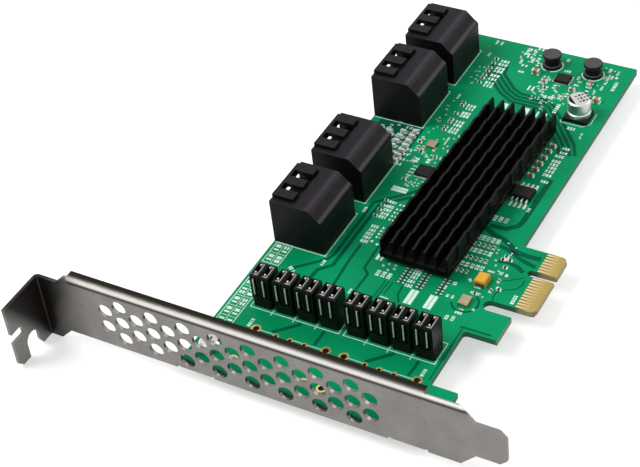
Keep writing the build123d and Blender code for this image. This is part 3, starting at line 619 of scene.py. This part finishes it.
def print_header_outlines():
    """Outlines round both groups of pin headers, with a tick between headers."""
    bm = bmesh.new()
    half = HEADER_COUNT // 2
    for first in (1, 1 + half):
        boxes = [box_mm(f"pin_header_{n}") for n in range(first, first + half)]
        left, right = boxes[0][0][0] - HEADER_OUTLINE_LEFT, boxes[0][1][0] + HEADER_OUTLINE_RIGHT
        low, high = boxes[0][0][1] - OUTLINE_GAP, boxes[-1][1][1] + OUTLINE_GAP
        add_strip(bm, box_path(left, right, low, high), OUTLINE_WIDTH, True)
        for lower, upper in zip(boxes, boxes[1:]):
            y = (lower[1][1] + upper[0][1]) / 2
            for start, end in ((-TICK_LENGTH, -OUTLINE_WIDTH), (OUTLINE_WIDTH, TICK_LENGTH)):
                add_strip(bm, [(left + start, y), (left + end, y)], OUTLINE_WIDTH)
    for start, end in SIGNAL_LINE_SPANS:
        add_strip(bm, [(SIGNAL_LINE_X, start), (SIGNAL_LINE_X, end)], SIGNAL_LINE_WIDTH)
    add_piece("silk_header_outlines", bm)


# Printed tables beside the headers: left, right, low, high and the number of columns
TABLES = (
    (-47.9, -26.3, 63.9, 68.3, 6),
    (-20.9, -13.4, 63.7, 68.2, 2),
)
TABLE_ROWS = 2
TABLE_LINE_WIDTH = 0.14
TABLE_LINE_INSET = 0.15
# Shares of a cell that its upright line and its mark take up
CELL_LINE_SHARE = 0.8
CELL_MARK_LENGTH = 0.72
CELL_MARK_HEIGHT = 0.6


def print_table(bm, rng, left, right, low, high, columns):
    """A printed table with generic marks in its cells."""
    add_strip(bm, box_path(left, right, low, high), OUTLINE_WIDTH, True)
    height = (high - low) / TABLE_ROWS
    width = (right - left) / columns
    for row in range(1, TABLE_ROWS):
        y = low + row * height
        add_strip(bm, [(left + TABLE_LINE_INSET, y), (right - TABLE_LINE_INSET, y)], TABLE_LINE_WIDTH)
    for column in range(columns):
        for row in range(TABLE_ROWS):
            middle = low + (row + 0.5) * height
            if column:
                x = left + column * width
                reach = CELL_LINE_SHARE * height / 2
                add_strip(bm, [(x, middle - reach), (x, middle + reach)], TABLE_LINE_WIDTH)
            add_caption(bm, rng, left + (column + 0.5) * width, middle,
                        width * CELL_MARK_LENGTH, height * CELL_MARK_HEIGHT, 0)


def print_tables():
    """The two printed tables along the board's top edge, beside the headers."""
    bm = bmesh.new()
    rng = random.Random(3)
    for table in TABLES:
        print_table(bm, rng, *table)
    add_piece("silk_tables", bm)


# Rows of upright reference marks: each X, the row's Y, and the marks' length and height
CAPTION_ROWS = (
    ((42.0, 43.4, 45.1, 46.6, 49.3, 50.6, 52.6, 54.0), 46.6, 2.6, 1.1),
    ((63.8, 65.2, 67.0, 68.7, 70.8, 72.2, 74.0, 75.6), 46.4, 2.8, 1.1),
    ((-4.9, -3.4, -2.0, -0.6, 0.9), 48.4, 2.1, 1.0),
    ((4.8, 6.1, 7.6, 9.0, 10.8), 48.3, 2.2, 1.0),
    ((34.9, 36.5, 38.0, 39.4, 40.8, 43.0), 16.9, 2.5, 1.05),
    ((32.3, 44.6, 46.4), 16.5, 2.1, 0.9),
    ((-15.0, -13.4, -11.9, -10.6, -9.3), 31.3, 2.1, 1.0),
    ((21.9, 23.2, 24.5, 25.8), 49.5, 1.4, 0.55),
)
# Columns of level reference marks: the column's X, each Y, and the marks' length and height
CAPTION_COLUMNS = (
    (-2.9, (22.9, 21.6, 20.2, 18.9, 17.7), 1.9, 0.95),
    (2.5, (23.2, 21.9, 20.6, 19.3, 18.0), 1.8, 0.95),
    (7.3, (23.0, 21.8, 20.6, 19.3, 18.0), 2.0, 0.95),
    (15.1, (22.3, 20.8, 19.3), 2.1, 1.0),
    (-13.8, (40.0, 38.5, 37.0), 2.1, 1.0),
)
# Single reference marks: X, Y, length, height, and the turn in degrees
CAPTIONS = (
    (-40.6, 59.9, 2.8, 0.9, 0), (-39.2, 15.5, 2.4, 0.8, 0), (-21.1, 18.4, 1.6, 0.8, 0),
    (-21.0, 16.9, 1.8, 0.8, 0), (-22.1, 43.3, 1.8, 0.6, 0), (-20.4, 60.4, 1.2, 1.0, 60),
    (-21.4, 59.3, 1.5, 0.7, 0), (-15.8, 54.0, 2.2, 0.8, 0), (5.7, 53.7, 2.2, 0.8, 0),
    (-8.6, 42.0, 2.2, 2.2, 90), (-9.8, 6.4, 3.2, 0.9, 0), (28.2, 50.6, 2.0, 1.8, 0),
    (28.9, 47.3, 2.0, 1.0, 0), (30.4, 48.5, 0.8, 0.9, 0), (20.8, 15.9, 1.7, 0.8, 0),
    (56.7, 51.7, 2.2, 0.6, 0), (77.2, 51.9, 2.0, 0.8, 0), (83.2, 52.2, 1.9, 0.7, 0),
    (83.2, 50.7, 1.7, 0.6, 0), (61.2, 25.3, 4.2, 1.0, 0), (67.0, 35.1, 2.3, 2.0, 90),
    (73.0, 40.6, 1.7, 0.8, 90), (77.2, 42.4, 2.0, 0.7, 0), (79.0, 39.6, 2.4, 0.8, 0),
    (82.4, 42.5, 3.2, 0.9, 0), (82.2, 40.4, 2.2, 0.9, 0), (82.3, 30.6, 1.4, 0.8, 0),
    (71.2, 18.8, 1.6, 0.5, 0), (73.8, 17.6, 2.0, 0.6, 0), (76.0, 17.5, 0.9, 0.7, 0),
    (78.5, 17.6, 2.6, 0.7, 0), (81.8, 18.3, 2.2, 0.9, 0), (75.7, 14.7, 4.2, 0.9, 0),
    (81.5, 15.9, 2.0, 0.6, 0), (54.7, 18.5, 2.4, 1.1, 90), (38.2, 46.4, 3.4, 0.5, 0),
    (-12.2, 22.9, 1.2, 0.5, 0), (-14.4, 21.3, 1.1, 0.7, 0), (-14.4, 20.0, 1.3, 0.6, 0),
    (-10.1, 21.4, 1.3, 0.9, 20), (-18.7, 16.5, 1.9, 0.8, 90), (-17.4, 16.4, 1.3, 0.4, 90),
    (-16.4, 13.7, 0.8, 0.7, 0), (-11.2, 15.6, 2.6, 0.7, 90), (-9.3, 16.0, 1.8, 0.5, 90),
    (-7.6, 18.6, 1.2, 0.7, 40), (-3.0, 15.2, 1.9, 0.6, 90), (-7.6, 11.3, 1.3, 0.8, 70),
    (-2.7, 12.8, 1.2, 0.9, 0), (-2.9, 11.3, 1.0, 0.7, 0), (2.4, 13.9, 1.2, 1.0, 90),
    (65.0, 30.6, 2.2, 0.7, 55), (65.4, 28.3, 2.2, 0.8, 0), (66.0, 26.6, 1.8, 0.8, 15),
    (68.2, 28.5, 1.6, 0.6, 50), (66.6, 32.0, 1.6, 0.6, 70), (75.8, 25.0, 1.8, 0.7, 0),
    (74.3, 24.0, 1.2, 0.8, 90), (72.6, 24.4, 1.4, 0.7, 90), (77.6, 28.9, 2.0, 0.8, 90),
    (33.3, 52.2, 1.6, 0.8, 30), (35.6, 53.2, 1.6, 0.8, 0), (37.2, 52.8, 1.2, 0.7, 20),
    (31.0, 44.8, 1.4, 0.5, 20), (34.3, 44.3, 1.2, 0.5, 30), (41.0, 44.2, 1.2, 0.4, 30),
)


def print_captions():
    """Generic reference marks beside the small parts."""
    bm = bmesh.new()
    rng = random.Random(11)
    for columns, y, length, height in CAPTION_ROWS:
        for x in columns:
            add_caption(bm, rng, x, y, length, height, 90)
    for x, rows, length, height in CAPTION_COLUMNS:
        for y in rows:
            add_caption(bm, rng, x, y, length, height, 0)
    for x, y, length, height, turn in CAPTIONS:
        add_caption(bm, rng, x, y, length, height, turn)
    add_piece("silk_captions", bm)


# Solid labels: the limits of each on X and on Y, and the pitch of two of its bars
LABELS = (
    ((-20.7, -15.7), (27.9, 30.1)),
    ((-20.4, -15.7), (22.9, 25.1)),
    ((14.9, 16.9), (46.9, 51.2)),
)
LABEL_PITCH = 0.7
LABEL_BAR_GAP = 0.01
LABEL_END_GAPS = (0.04, 0.12)


def print_labels():
    """Solid printed labels, as two rows of close-set bars with uneven ends."""
    bm = bmesh.new()
    for x_span, y_span in LABELS:
        level = x_span[1] - x_span[0] > y_span[1] - y_span[0]
        along, across = (x_span, y_span) if level else (y_span, x_span)
        bars = 2 * round((along[1] - along[0]) / LABEL_PITCH)
        step = (along[1] - along[0]) / bars
        half = (across[1] - across[0]) / 2
        for i in range(bars):
            start = along[0] + i * step
            length = (start + LABEL_BAR_GAP, start + step - LABEL_BAR_GAP)
            for side in (0, 1):
                gap = LABEL_END_GAPS[(i + side) % 2]
                width = (across[0] + side * half + gap, across[0] + (side + 1) * half - gap)
                add_plate(bm, *(length + width if level else width + length))
    add_piece("silk_blocks", bm)


# Arcs round each inductor: start and end in degrees, and steps
INDUCTOR_ARCS = ((190, 320, 24), (95, 165, 16))
INDUCTOR_ARC_GAP = 0.35
INDUCTOR_ARC_WIDTH = 0.3
# Outline on two sides of the electrolytic capacitor's base, with its corners cut off
BASE_OUTLINE_GAP = 0.7
BASE_OUTLINE_WIDTH = 0.22
BASE_CUT = 1.6
BASE_OPEN_END = (0.9, 0.5)
# Short printed lines: width and the two ends
SHORT_LINES = (
    (0.2, ((22.8, 17.7), (27.4, 17.7))),
    (0.2, ((15.4, 44.9), (12.4, 43.2))),
    (0.28, ((-20.8, 35.9), (-20.9, 33.7))),
    (0.45, ((55.8, 29.1), (58.4, 29.1))),
)
# Arrowheads beyond the heatsink's end: X and Y of the middle, length and height
ARROWHEADS = ((57.2, 38.4, 2.6, 1.3), (57.2, 32.4, 2.8, 1.5), (57.4, 27.0, 1.8, 0.9))


def print_part_outlines():
    """Corner lines, arcs, boxes and arrowheads printed round the larger parts."""
    bm = bmesh.new()
    for number in (1, 2):
        low, high = box_mm(f"inductor_{number}")
        radius = (high[0] - low[0]) / 2 + INDUCTOR_ARC_GAP
        for arc in INDUCTOR_ARCS:
            add_strip(bm, arc_path(*plan_middle(low, high), radius, *arc), INDUCTOR_ARC_WIDTH)
    low, high = box_mm("electrolytic_base")
    left, right = low[0] - BASE_OUTLINE_GAP, high[0] + BASE_OUTLINE_GAP
    front, back = low[1] - BASE_OUTLINE_GAP, high[1] + BASE_OUTLINE_GAP
    base_outline = [
        (left + BASE_OPEN_END[0], back), (left, back - BASE_OPEN_END[1]), (left, front + BASE_CUT),
        (left + BASE_CUT, front), (right - BASE_CUT, front),
    ]
    add_strip(bm, base_outline, BASE_OUTLINE_WIDTH)
    for width, ends in SHORT_LINES:
        add_strip(bm, ends, width)
    for x, y, length, height in ARROWHEADS:
        left, right, low, high = x - length / 2, x + length / 2, y - height / 2, y + height / 2
        add_prism(bm, [(left, low), (right, low), (right, high)], PRINT_LOW, PRINT_HIGH)
    add_piece("silk_part_outlines", bm)


# Channels between the copper areas, seen as dark lines in the mask: width, then points of X and Y
CHANNELS = (
    (1.0, ((-41.4, 53.8), (-39.6, 51.8), (-36.4, 48.6))),
    (1.0, ((-41.4, 29.3), (-39.2, 27.0), (-36.4, 24.2))),
    (0.8, ((-41.4, 42.5), (-36.4, 42.5))),
    (0.7, ((-41.4, 18.4), (-38.8, 18.1), (-36.4, 18.1))),
    (0.9, ((-20.6, 60.4), (-16.6, 56.2), (-14.0, 53.6), (-12.0, 52.9), (9.0, 52.9), (11.6, 50.2),
           (15.2, 46.4), (17.2, 44.6))),
    (1.0, ((-22.0, 54.4), (-18.4, 54.1), (-15.6, 51.4), (8.4, 51.2), (10.4, 49.2), (14.4, 45.0))),
    (0.8, ((-22.0, 48.0), (-12.0, 48.6), (-6.2, 48.6))),
    (0.7, ((-22.0, 42.3), (-15.2, 42.1), (-13.4, 43.9), (-5.0, 44.2))),
    (0.35, ((-22.0, 37.3), (-15.4, 37.1))),
    (0.35, ((-22.0, 36.5), (-15.4, 36.2))),
    (0.35, ((-19.6, 35.4), (-15.4, 35.2))),
    (0.5, ((-21.0, 30.9), (-18.6, 32.3), (-15.4, 32.5))),
    (1.5, ((12.2, 22.4), (12.4, 18.2), (14.4, 15.9), (16.4, 15.4), (33.6, 15.3))),
    (1.5, ((11.0, 23.0), (9.4, 20.3), (8.7, 17.3), (7.4, 14.9), (5.6, 12.4), (5.2, 9.2), (5.4, 6.0))),
    (1.2, ((6.2, 17.0), (5.6, 14.6), (4.2, 11.8), (3.2, 9.4), (2.4, 6.2))),
    (1.2, ((1.0, 15.2), (1.6, 12.9), (0.8, 10.0), (-0.4, 8.2))),
    (0.3, ((-12.9, 9.6), (-12.6, 10.6), (-10.6, 11.3), (-9.1, 11.2), (-7.7, 10.0), (-6.4, 7.5),
           (-4.3, 6.5), (-2.6, 6.8))),
    (0.3, ((-5.0, 11.4), (-3.1, 8.6), (-1.8, 7.1))),
    (0.5, ((-22.6, 14.2), (-22.6, 6.4))),
    (0.35, ((-23.0, 13.4), (-40.6, 13.4))),
)
# The lines that run together round the heatsink's far end and back along the board's lower edge
BUNDLE = (
    (74.0, 45.0), (70.4, 44.4), (65.4, 39.4), (63.8, 36.6), (63.8, 29.6), (62.2, 26.6),
    (55.2, 20.6), (48.6, 15.2), (44.6, 13.4),
)
BUNDLE_LINES = 4
BUNDLE_PITCH = 1.35
BUNDLE_WIDTH = 0.95
# The dark ring round the first crystal, left open towards the heatsink: start and end in degrees
CRYSTAL_ARC = (110, 330)
CRYSTAL_ARC_WIDTH = 0.55
# Footprints of three part arrays: the first pad's X, the lower Y of each, and the pads of each
ARRAY_LEFT = -14.6
ARRAY_ROWS = (32.6, 27.7, 22.6)
ARRAY_PADS = 6
ARRAY_PITCH = 1.0
ARRAY_PAD_ROWS = (0.35, 1.55)
# The dark field under each array: its left and right, and how far it reaches below and above its lower Y
ARRAY_FIELD = (-15.1, -9.1)
ARRAY_REACH = (0.1, 2.0)
# The darker field of small parts between the second and third housings: its left, right, low and high
DARK_FIELD = (26.6, 41.0, 54.0, 66.8)


def add_channels():
    """Dark lines in the solder mask, where the copper below is cut, and darker fields of mask under the
    arrays and between the second and third housings.
    """
    bm = bmesh.new()
    for width, path in CHANNELS:
        add_strip(bm, path, width, high=CHANNEL_HIGH)
    for line in range(BUNDLE_LINES):
        add_strip(bm, beside(BUNDLE, -line * BUNDLE_PITCH), BUNDLE_WIDTH, high=CHANNEL_HIGH)
    add_plate(bm, *DARK_FIELD, high=CHANNEL_HIGH)
    for low_y in ARRAY_ROWS:
        add_plate(bm, *ARRAY_FIELD, low_y - ARRAY_REACH[0], low_y + ARRAY_REACH[1], high=CHANNEL_HIGH)
    low, high = box_mm("crystal_1")
    ring = arc_path(*plan_middle(low, high), high[0] - low[0], *CRYSTAL_ARC, 24)
    add_strip(bm, ring, CRYSTAL_ARC_WIDTH, high=CHANNEL_HIGH)
    add_piece("mask_channels", bm, "channel")


# Holes of the two empty connector footprints: places, and radii inside and outside the barrels and rings
FOOTPRINT_MIDDLES = (25.15, 48.45)
FOOTPRINT_HALF = 9.3
LARGE_HOLE_COLUMNS = (-52.6, -41.85)
LARGE_BARREL = (0.78, 1.10)
LARGE_RING = 1.28
SMALL_HOLE_X = -42.25
SMALL_HOLE_PITCH = 3.75
SMALL_BARREL = (0.40, 0.56)
SMALL_RING = 0.78
LARGE_HOLES = [
    (x, middle + side * FOOTPRINT_HALF)
    for x in LARGE_HOLE_COLUMNS for middle in FOOTPRINT_MIDDLES for side in (-1, 1)
]
SMALL_HOLES = [
    (SMALL_HOLE_X, middle + step * SMALL_HOLE_PITCH) for middle in FOOTPRINT_MIDDLES for step in (-1, 0, 1)
]


def add_hole_rings():
    """Barrels in the holes of the empty footprints, with a gold ring on each face of the board."""
    bm = bmesh.new()
    barrels = bmesh.new()
    large, small = (LARGE_HOLES, LARGE_BARREL, LARGE_RING), (SMALL_HOLES, SMALL_BARREL, SMALL_RING)
    for places, (inner, outer), ring in (large, small):
        for x, y in places:
            add_ring(barrels, x, y, inner, outer, BACK, PRINT_LOW)
            add_ring(bm, x, y, inner, ring, PRINT_LOW, PAD_HIGH)
            add_ring(bm, x, y, inner, ring, BACK - PAD_HIGH, BACK)
    add_piece("hole_rings", bm, "gold")
    add_piece("hole_barrels", barrels, "barrel")


# Fields of scattered vias: left, right, low, high and how many
VIA_FIELDS = (
    (-12.0, 9.0, 12.6, 17.0, 12), (27.0, 40.0, 44.8, 53.5, 22), (62.4, 71.0, 24.0, 34.0, 34),
    (41.5, 55.0, 50.6, 53.0, 14), (50.0, 55.0, 13.8, 15.4, 4), (70.0, 83.0, 14.4, 20.0, 12),
    (63.0, 76.0, 50.6, 53.0, 10), (78.0, 84.0, 38.0, 44.0, 10), (17.6, 21.2, 45.0, 49.8, 12),
)
VIA_HOLE = 0.12
VIA_RING = 0.26
VIA_STEPS = 12


def add_vias():
    """Small ringed vias scattered between the parts, on both faces."""
    bm = bmesh.new()
    rng = random.Random(5)
    for left, right, low, high, count in VIA_FIELDS:
        for _ in range(count):
            x = rng.uniform(left, right)
            y = rng.uniform(low, high)
            add_ring(bm, x, y, VIA_HOLE, VIA_RING, PRINT_LOW, PRINT_HIGH, VIA_STEPS)
            add_ring(bm, x, y, VIA_HOLE, VIA_RING, BACK - PRINT_HIGH, BACK, VIA_STEPS)
    add_piece("vias", bm, "tin")


# A solder joint's outline, from the board down: share of its radius and share of its height
JOINT_PROFILE = ((1.0, 0.0), (0.72, 0.3), (0.52, 0.7), (0.4, 1.0))
# Height and radius of the joints on header pins and on contact legs, and how deep a leg is
PIN_JOINT = (0.75, 0.95)
LEG_JOINT = (0.7, 0.56)
CONTACT_LEG = 0.5


def add_dome(bm, x, y, height, radius, steps=14):
    """A solder joint: a skirt on the back of the board that draws in towards the pin."""
    loops = [
        [
            bm.verts.new((px * MM, py * MM, (BACK - height * drop) * MM))
            for px, py in arc_path(x, y, radius * share, 0, 360, steps)[:-1]
        ]
        for share, drop in JOINT_PROFILE
    ]
    bm.faces.new(loops[0])
    bm.faces.new(list(reversed(loops[-1])))
    for a, b in zip(loops, loops[1:]):
        for i in range(steps):
            k = (i + 1) % steps
            bm.faces.new((a[i], b[i], b[k], a[k]))


def add_solder_joints():
    """Solder round the pins and contact legs on the back of the board."""
    bm = bmesh.new()
    for low, high in solids_of("header_pins"):
        add_dome(bm, *plan_middle(low, high), *PIN_JOINT)
    for number in range(1, SATA_COUNT + 1):
        for low, high in solids_of(f"sata_contacts_{number}"):
            add_dome(bm, (low[0] + high[0]) / 2, low[1] + CONTACT_LEG / 2, *LEG_JOINT)
    add_piece("solder_joints", bm, "tin")


# Pads under the fitted parts, and how far they show round what stands on them
END_PAD_MARGIN = 0.14
FLASH_PAD_MARGIN = 0.12
FLASH_LEAD_FOOT = 0.9
FLASH_PAD_REACH = 1.0
QFN_PADS = (("interface_chip", 7), ("regulator_chip", 5))
QFN_PAD = 0.45
QFN_PAD_WIDTH = 0.28
# Corner lines beside the flat chips
CORNER_LINE_GAP = 0.3
INTERFACE_LINE_WIDTH = 0.26
REGULATOR_LINE_WIDTH = 0.22


def add_flat_chip_pads(bm, name, per_side):
    """Pads that show all round a flat chip."""
    low, high = box_mm(name)
    for i in range(per_side):
        share = (i + 1) / (per_side + 1)
        x = low[0] + (high[0] - low[0]) * share
        y = low[1] + (high[1] - low[1]) * share
        for edge, way in ((low[1], -1), (high[1], 1)):
            add_pad(bm, x, edge + way * QFN_PAD / 2, QFN_PAD_WIDTH, QFN_PAD)
        for edge, way in ((low[0], -1), (high[0], 1)):
            add_pad(bm, edge + way * QFN_PAD / 2, y, QFN_PAD, QFN_PAD_WIDTH)


def add_chip_pads():
    """Tinned pads under the plated ends of the chip parts, the flash leads and the flat chips."""
    bm = bmesh.new()
    for low, high in solids_of("chip_terminations"):
        add_plate(bm, low[0] - END_PAD_MARGIN, high[0] + END_PAD_MARGIN,
                  low[1] - END_PAD_MARGIN, high[1] + END_PAD_MARGIN, high=PAD_HIGH)
    middle = plan_middle(*box_mm("flash_chip"))[0]
    for low, high in solids_of("flash_leads"):
        if high[0] < middle:
            ends = (low[0] - FLASH_PAD_REACH, low[0] + FLASH_LEAD_FOOT)
        else:
            ends = (high[0] - FLASH_LEAD_FOOT, high[0] + FLASH_PAD_REACH)
        add_plate(bm, *ends, low[1] - FLASH_PAD_MARGIN, high[1] + FLASH_PAD_MARGIN, high=PAD_HIGH)
    for name, per_side in QFN_PADS:
        add_flat_chip_pads(bm, name, per_side)
    low, high = box_mm("interface_chip")
    left, front = low[0] - CORNER_LINE_GAP, low[1] - CORNER_LINE_GAP
    add_strip(bm, [(left, high[1]), (left, front), (high[0], front)], INTERFACE_LINE_WIDTH)
    low, high = box_mm("regulator_chip")
    right, front = high[0] + CORNER_LINE_GAP, low[1] - CORNER_LINE_GAP
    add_strip(bm, [(low[0], front), (right, front), (right, high[1])], REGULATOR_LINE_WIDTH)
    add_piece("part_pads", bm, "tin")


# Rows of paired pads between the second and third housings: first X, Y and how many
PAD_ROWS = ((25.0, 57.1, 7), (27.0, 60.3, 5), (33.0, 63.9, 3), (25.0, 53.9, 4))
PAD_ROW_PITCH = 2.1
PAD_ROW_HALF = 0.45
PAD_ROW_SIZE = (0.9, 0.5)
ARRAY_PAD_SIZE = (0.45, 0.6)
# Turned pads left of the heatsink, and two rows of pads above its near end
TURNED_PADS = (
    (-11.0, 40.0), (-10.0, 38.9), (-12.0, 38.3), (-11.1, 37.0), (-9.8, 37.2), (-4.2, 46.6), (-4.8, 44.9),
)
TURNED_PAD_SIZE = (0.7, 0.6)
PAD_TURN = 30
NEAR_PAD_COLUMNS = (-2.4, -1.2, 0.0, 1.2, 4.6, 6.0, 7.4, 8.8, 10.6)
NEAR_PAD_ROWS = (45.2, 46.2)
NEAR_PAD_SIZE = (0.6, 0.5)
# Middles of the pad pairs of small parts left off, in the crowded fields
PAD_PAIRS = (
    (81.0, 42.2), (79.6, 38.3), (77.7, 37.6), (75.9, 40.8), (84.4, 39.4), (83.4, 41.3), (80.0, 41.0),
    (70.3, 33.5), (73.2, 33.2), (72.4, 31.4), (69.9, 29.6), (65.1, 29.6), (68.6, 31.4), (67.6, 25.2),
    (37.5, 65.1), (38.5, 62.9), (40.2, 61.1), (39.6, 58.0), (39.1, 55.4), (36.3, 55.4), (33.6, 55.2),
    (30.6, 55.2), (29.2, 57.6), (27.8, 55.2), (32.2, 52.4), (33.4, 50.8), (70.6, 20.8), (79.4, 16.2),
)
PAD_PAIR_HALF = 0.55
PAD_PAIR_SIZE = (0.9, 0.55)


def add_bare_pads():
    """Tinned pads of the parts left off the board: small pairs in rows, and three resistor arrays."""
    bm = bmesh.new()
    for start, y, count in PAD_ROWS:
        for i in range(count):
            for side in (-1, 1):
                add_pad(bm, start + PAD_ROW_PITCH * i, y + side * PAD_ROW_HALF, *PAD_ROW_SIZE)
    for low_y in ARRAY_ROWS:
        for i in range(ARRAY_PADS):
            for shift in ARRAY_PAD_ROWS:
                add_pad(bm, ARRAY_LEFT + ARRAY_PITCH * i, low_y + shift, *ARRAY_PAD_SIZE)
    for x, y in TURNED_PADS:
        add_pad(bm, x, y, *TURNED_PAD_SIZE, PAD_TURN)
    for x in NEAR_PAD_COLUMNS:
        for y in NEAR_PAD_ROWS:
            add_pad(bm, x, y, *NEAR_PAD_SIZE)
    rng = random.Random(8)
    for x, y in PAD_PAIRS:
        turn = rng.choice((0, 90))
        across = math.radians(turn + 90)
        for side in (-1, 1):
            shift = side * PAD_PAIR_HALF
            add_pad(bm, x + shift * math.cos(across), y + shift * math.sin(across), *PAD_PAIR_SIZE, turn)
    add_piece("bare_pads", bm, "tin")


# Print on the electrolytic can: how far in its dark segment ends, the segment's arc, and rows of marks
CAN_PRINT_INSET = 0.45
CAN_PRINT_SINK = 0.02
CAN_SEGMENT = (85, 185)
CAN_MARK_TURN = -40
CAN_MARK_SHIFT = 0.5
CAN_MARK_PITCH = 0.95
CAN_ROW_PITCH = 1.25
CAN_MARK_LENGTH = 0.55
CAN_MARK_HEIGHTS = (0.45, 0.75)


def add_can_mark():
    """Dark segment and generic marks printed on top of the electrolytic can."""
    low, high = box_mm("electrolytic_can")
    x, y = plan_middle(low, high)
    radius = (high[0] - low[0]) / 2 - CAN_PRINT_INSET
    heights = (high[2] - CAN_PRINT_SINK, high[2] + PRINT_HIGH)
    bm = bmesh.new()
    add_prism(bm, arc_path(x, y, radius, *CAN_SEGMENT, 24), *heights)
    turn = math.radians(CAN_MARK_TURN)
    for row in (-1, 0, 1):
        rise = row * CAN_ROW_PITCH
        for step in range(4):
            along = (step - 1.1) * CAN_MARK_PITCH
            mark_x = x + along * math.cos(turn) - rise * math.sin(turn) + CAN_MARK_SHIFT
            mark_y = y + along * math.sin(turn) + rise * math.cos(turn) - CAN_MARK_SHIFT
            add_bar(bm, mark_x, mark_y, CAN_MARK_LENGTH, CAN_MARK_HEIGHTS[step % 2], CAN_MARK_TURN, *heights)
    add_piece("can_mark", bm, "cap")


# Painted reflection of the pin on each clip, as a bright strip: inset from the clip's side, width, how far
# it stands out and sinks in, and end gaps
CLIP_REFLECTION_INSET = 0.10
CLIP_REFLECTION_WIDTH = 0.30
CLIP_REFLECTION_REACH = 0.15
CLIP_REFLECTION_SINK = 0.02
CLIP_REFLECTION_ENDS = (0.9, 1.1)


def add_clip_reflections():
    """A bright strip on each jumper clip, seen down its slot, as a painted reflection of the pin."""
    bm = bmesh.new()
    for low, high in solids_of("jumper_clips"):
        side = high[1] - CLIP_REFLECTION_INSET
        # Painted reflection: a bright strip on the clip's face turned towards the bracket
        add_plate(bm, low[0] - CLIP_REFLECTION_REACH, low[0] + CLIP_REFLECTION_SINK, side - CLIP_REFLECTION_WIDTH, side,
                  low[2] + CLIP_REFLECTION_ENDS[0], high[2] - CLIP_REFLECTION_ENDS[1])
    add_piece("clip_reflections", bm, "tin")


def seen_rays(nodes, links):
    """One for rays from the camera, from mirrors and through glass, and nought for the rest."""
    path = nodes.new("ShaderNodeLightPath")
    seen = path.outputs["Is Camera Ray"]
    for name in ("Is Glossy Ray", "Is Transmission Ray"):
        either = nodes.new("ShaderNodeMath")
        either.operation = "MAXIMUM"
        links.new(seen, either.inputs[0])
        links.new(path.outputs[name], either.inputs[1])
        seen = either.outputs["Value"]
    return seen


def make_world():
    """Even white surroundings: white where seen, softer where they light the part."""
    world = bpy.data.worlds.new("studio")
    bpy.context.scene.world = world
    nodes, links = node_tree(world)
    background = nodes["Background"]
    fill_inputs(background, {"Color": (1, 1, 1, 1)})
    strength = nodes.new("ShaderNodeMapRange")
    fill_inputs(strength, {"To Min": WORLD_LIGHT, "To Max": 1.0})
    links.new(seen_rays(nodes, links), strength.inputs["Value"])
    links.new(strength.outputs["Result"], background.inputs["Strength"])


def make_floor():
    """A plain pale floor just under the part's lowest edge, which looks white and keeps a faint shadow."""
    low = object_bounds()[0]
    bpy.ops.mesh.primitive_plane_add(size=FLOOR_SIDE, location=(0, 0, low[2] - FLOOR_GAP))
    floor = bpy.context.object
    floor.name = "floor"
    material = bpy.data.materials.new("pale_floor")
    nodes, links = node_tree(material)
    shader = nodes["Principled BSDF"]
    fill_inputs(shader, {"Base Color": (FLOOR_GREY, FLOOR_GREY, FLOOR_GREY, 1), "Roughness": 0.9})
    fill_inputs(shader, {"Emission Color": (1, 1, 1, 1)})
    glow = nodes.new("ShaderNodeMath")
    glow.operation = "MULTIPLY"
    links.new(seen_rays(nodes, links), glow.inputs[0])
    glow.inputs[1].default_value = FLOOR_WHITE
    links.new(glow.outputs["Value"], shader.inputs["Emission Strength"])
    floor.data.materials.append(material)


def add_area_light(name, place, side, power):
    """A soft square lamp aimed at the middle of the part."""
    lamp = bpy.data.lights.new(name, "AREA")
    lamp.shape = "SQUARE"
    lamp.size = side
    lamp.energy = power
    light = bpy.data.objects.new(name, lamp)
    light.location = place
    aim = Vector(PART_MIDDLE) - Vector(place)
    light.rotation_euler = aim.to_track_quat("-Z", "Y").to_euler()
    bpy.context.scene.collection.objects.link(light)


def make_camera():
    """The camera at the photo's place, angle and focal length."""
    data = bpy.data.cameras.new("camera")
    data.lens = CAMERA_LENS
    data.sensor_width = SENSOR_WIDTH
    data.sensor_fit = "HORIZONTAL"
    data.clip_start = 0.01
    camera = bpy.data.objects.new("camera", data)
    camera.location = CAMERA_PLACE
    camera.rotation_euler = Euler([math.radians(turn) for turn in CAMERA_TURN], "XYZ")
    bpy.context.scene.collection.objects.link(camera)
    bpy.context.scene.camera = camera


dress_nodes()
print_housing_outlines()
print_header_outlines()
print_tables()
print_captions()
print_labels()
print_part_outlines()
add_channels()
add_hole_rings()
add_vias()
add_solder_joints()
add_chip_pads()
add_bare_pads()
add_can_mark()
add_clip_reflections()

make_world()
make_floor()
add_area_light("key", *KEY_LAMP)
add_area_light("fill", *FILL_LAMP)
make_camera()
bpy.context.scene.view_settings.view_transform = "Standard"
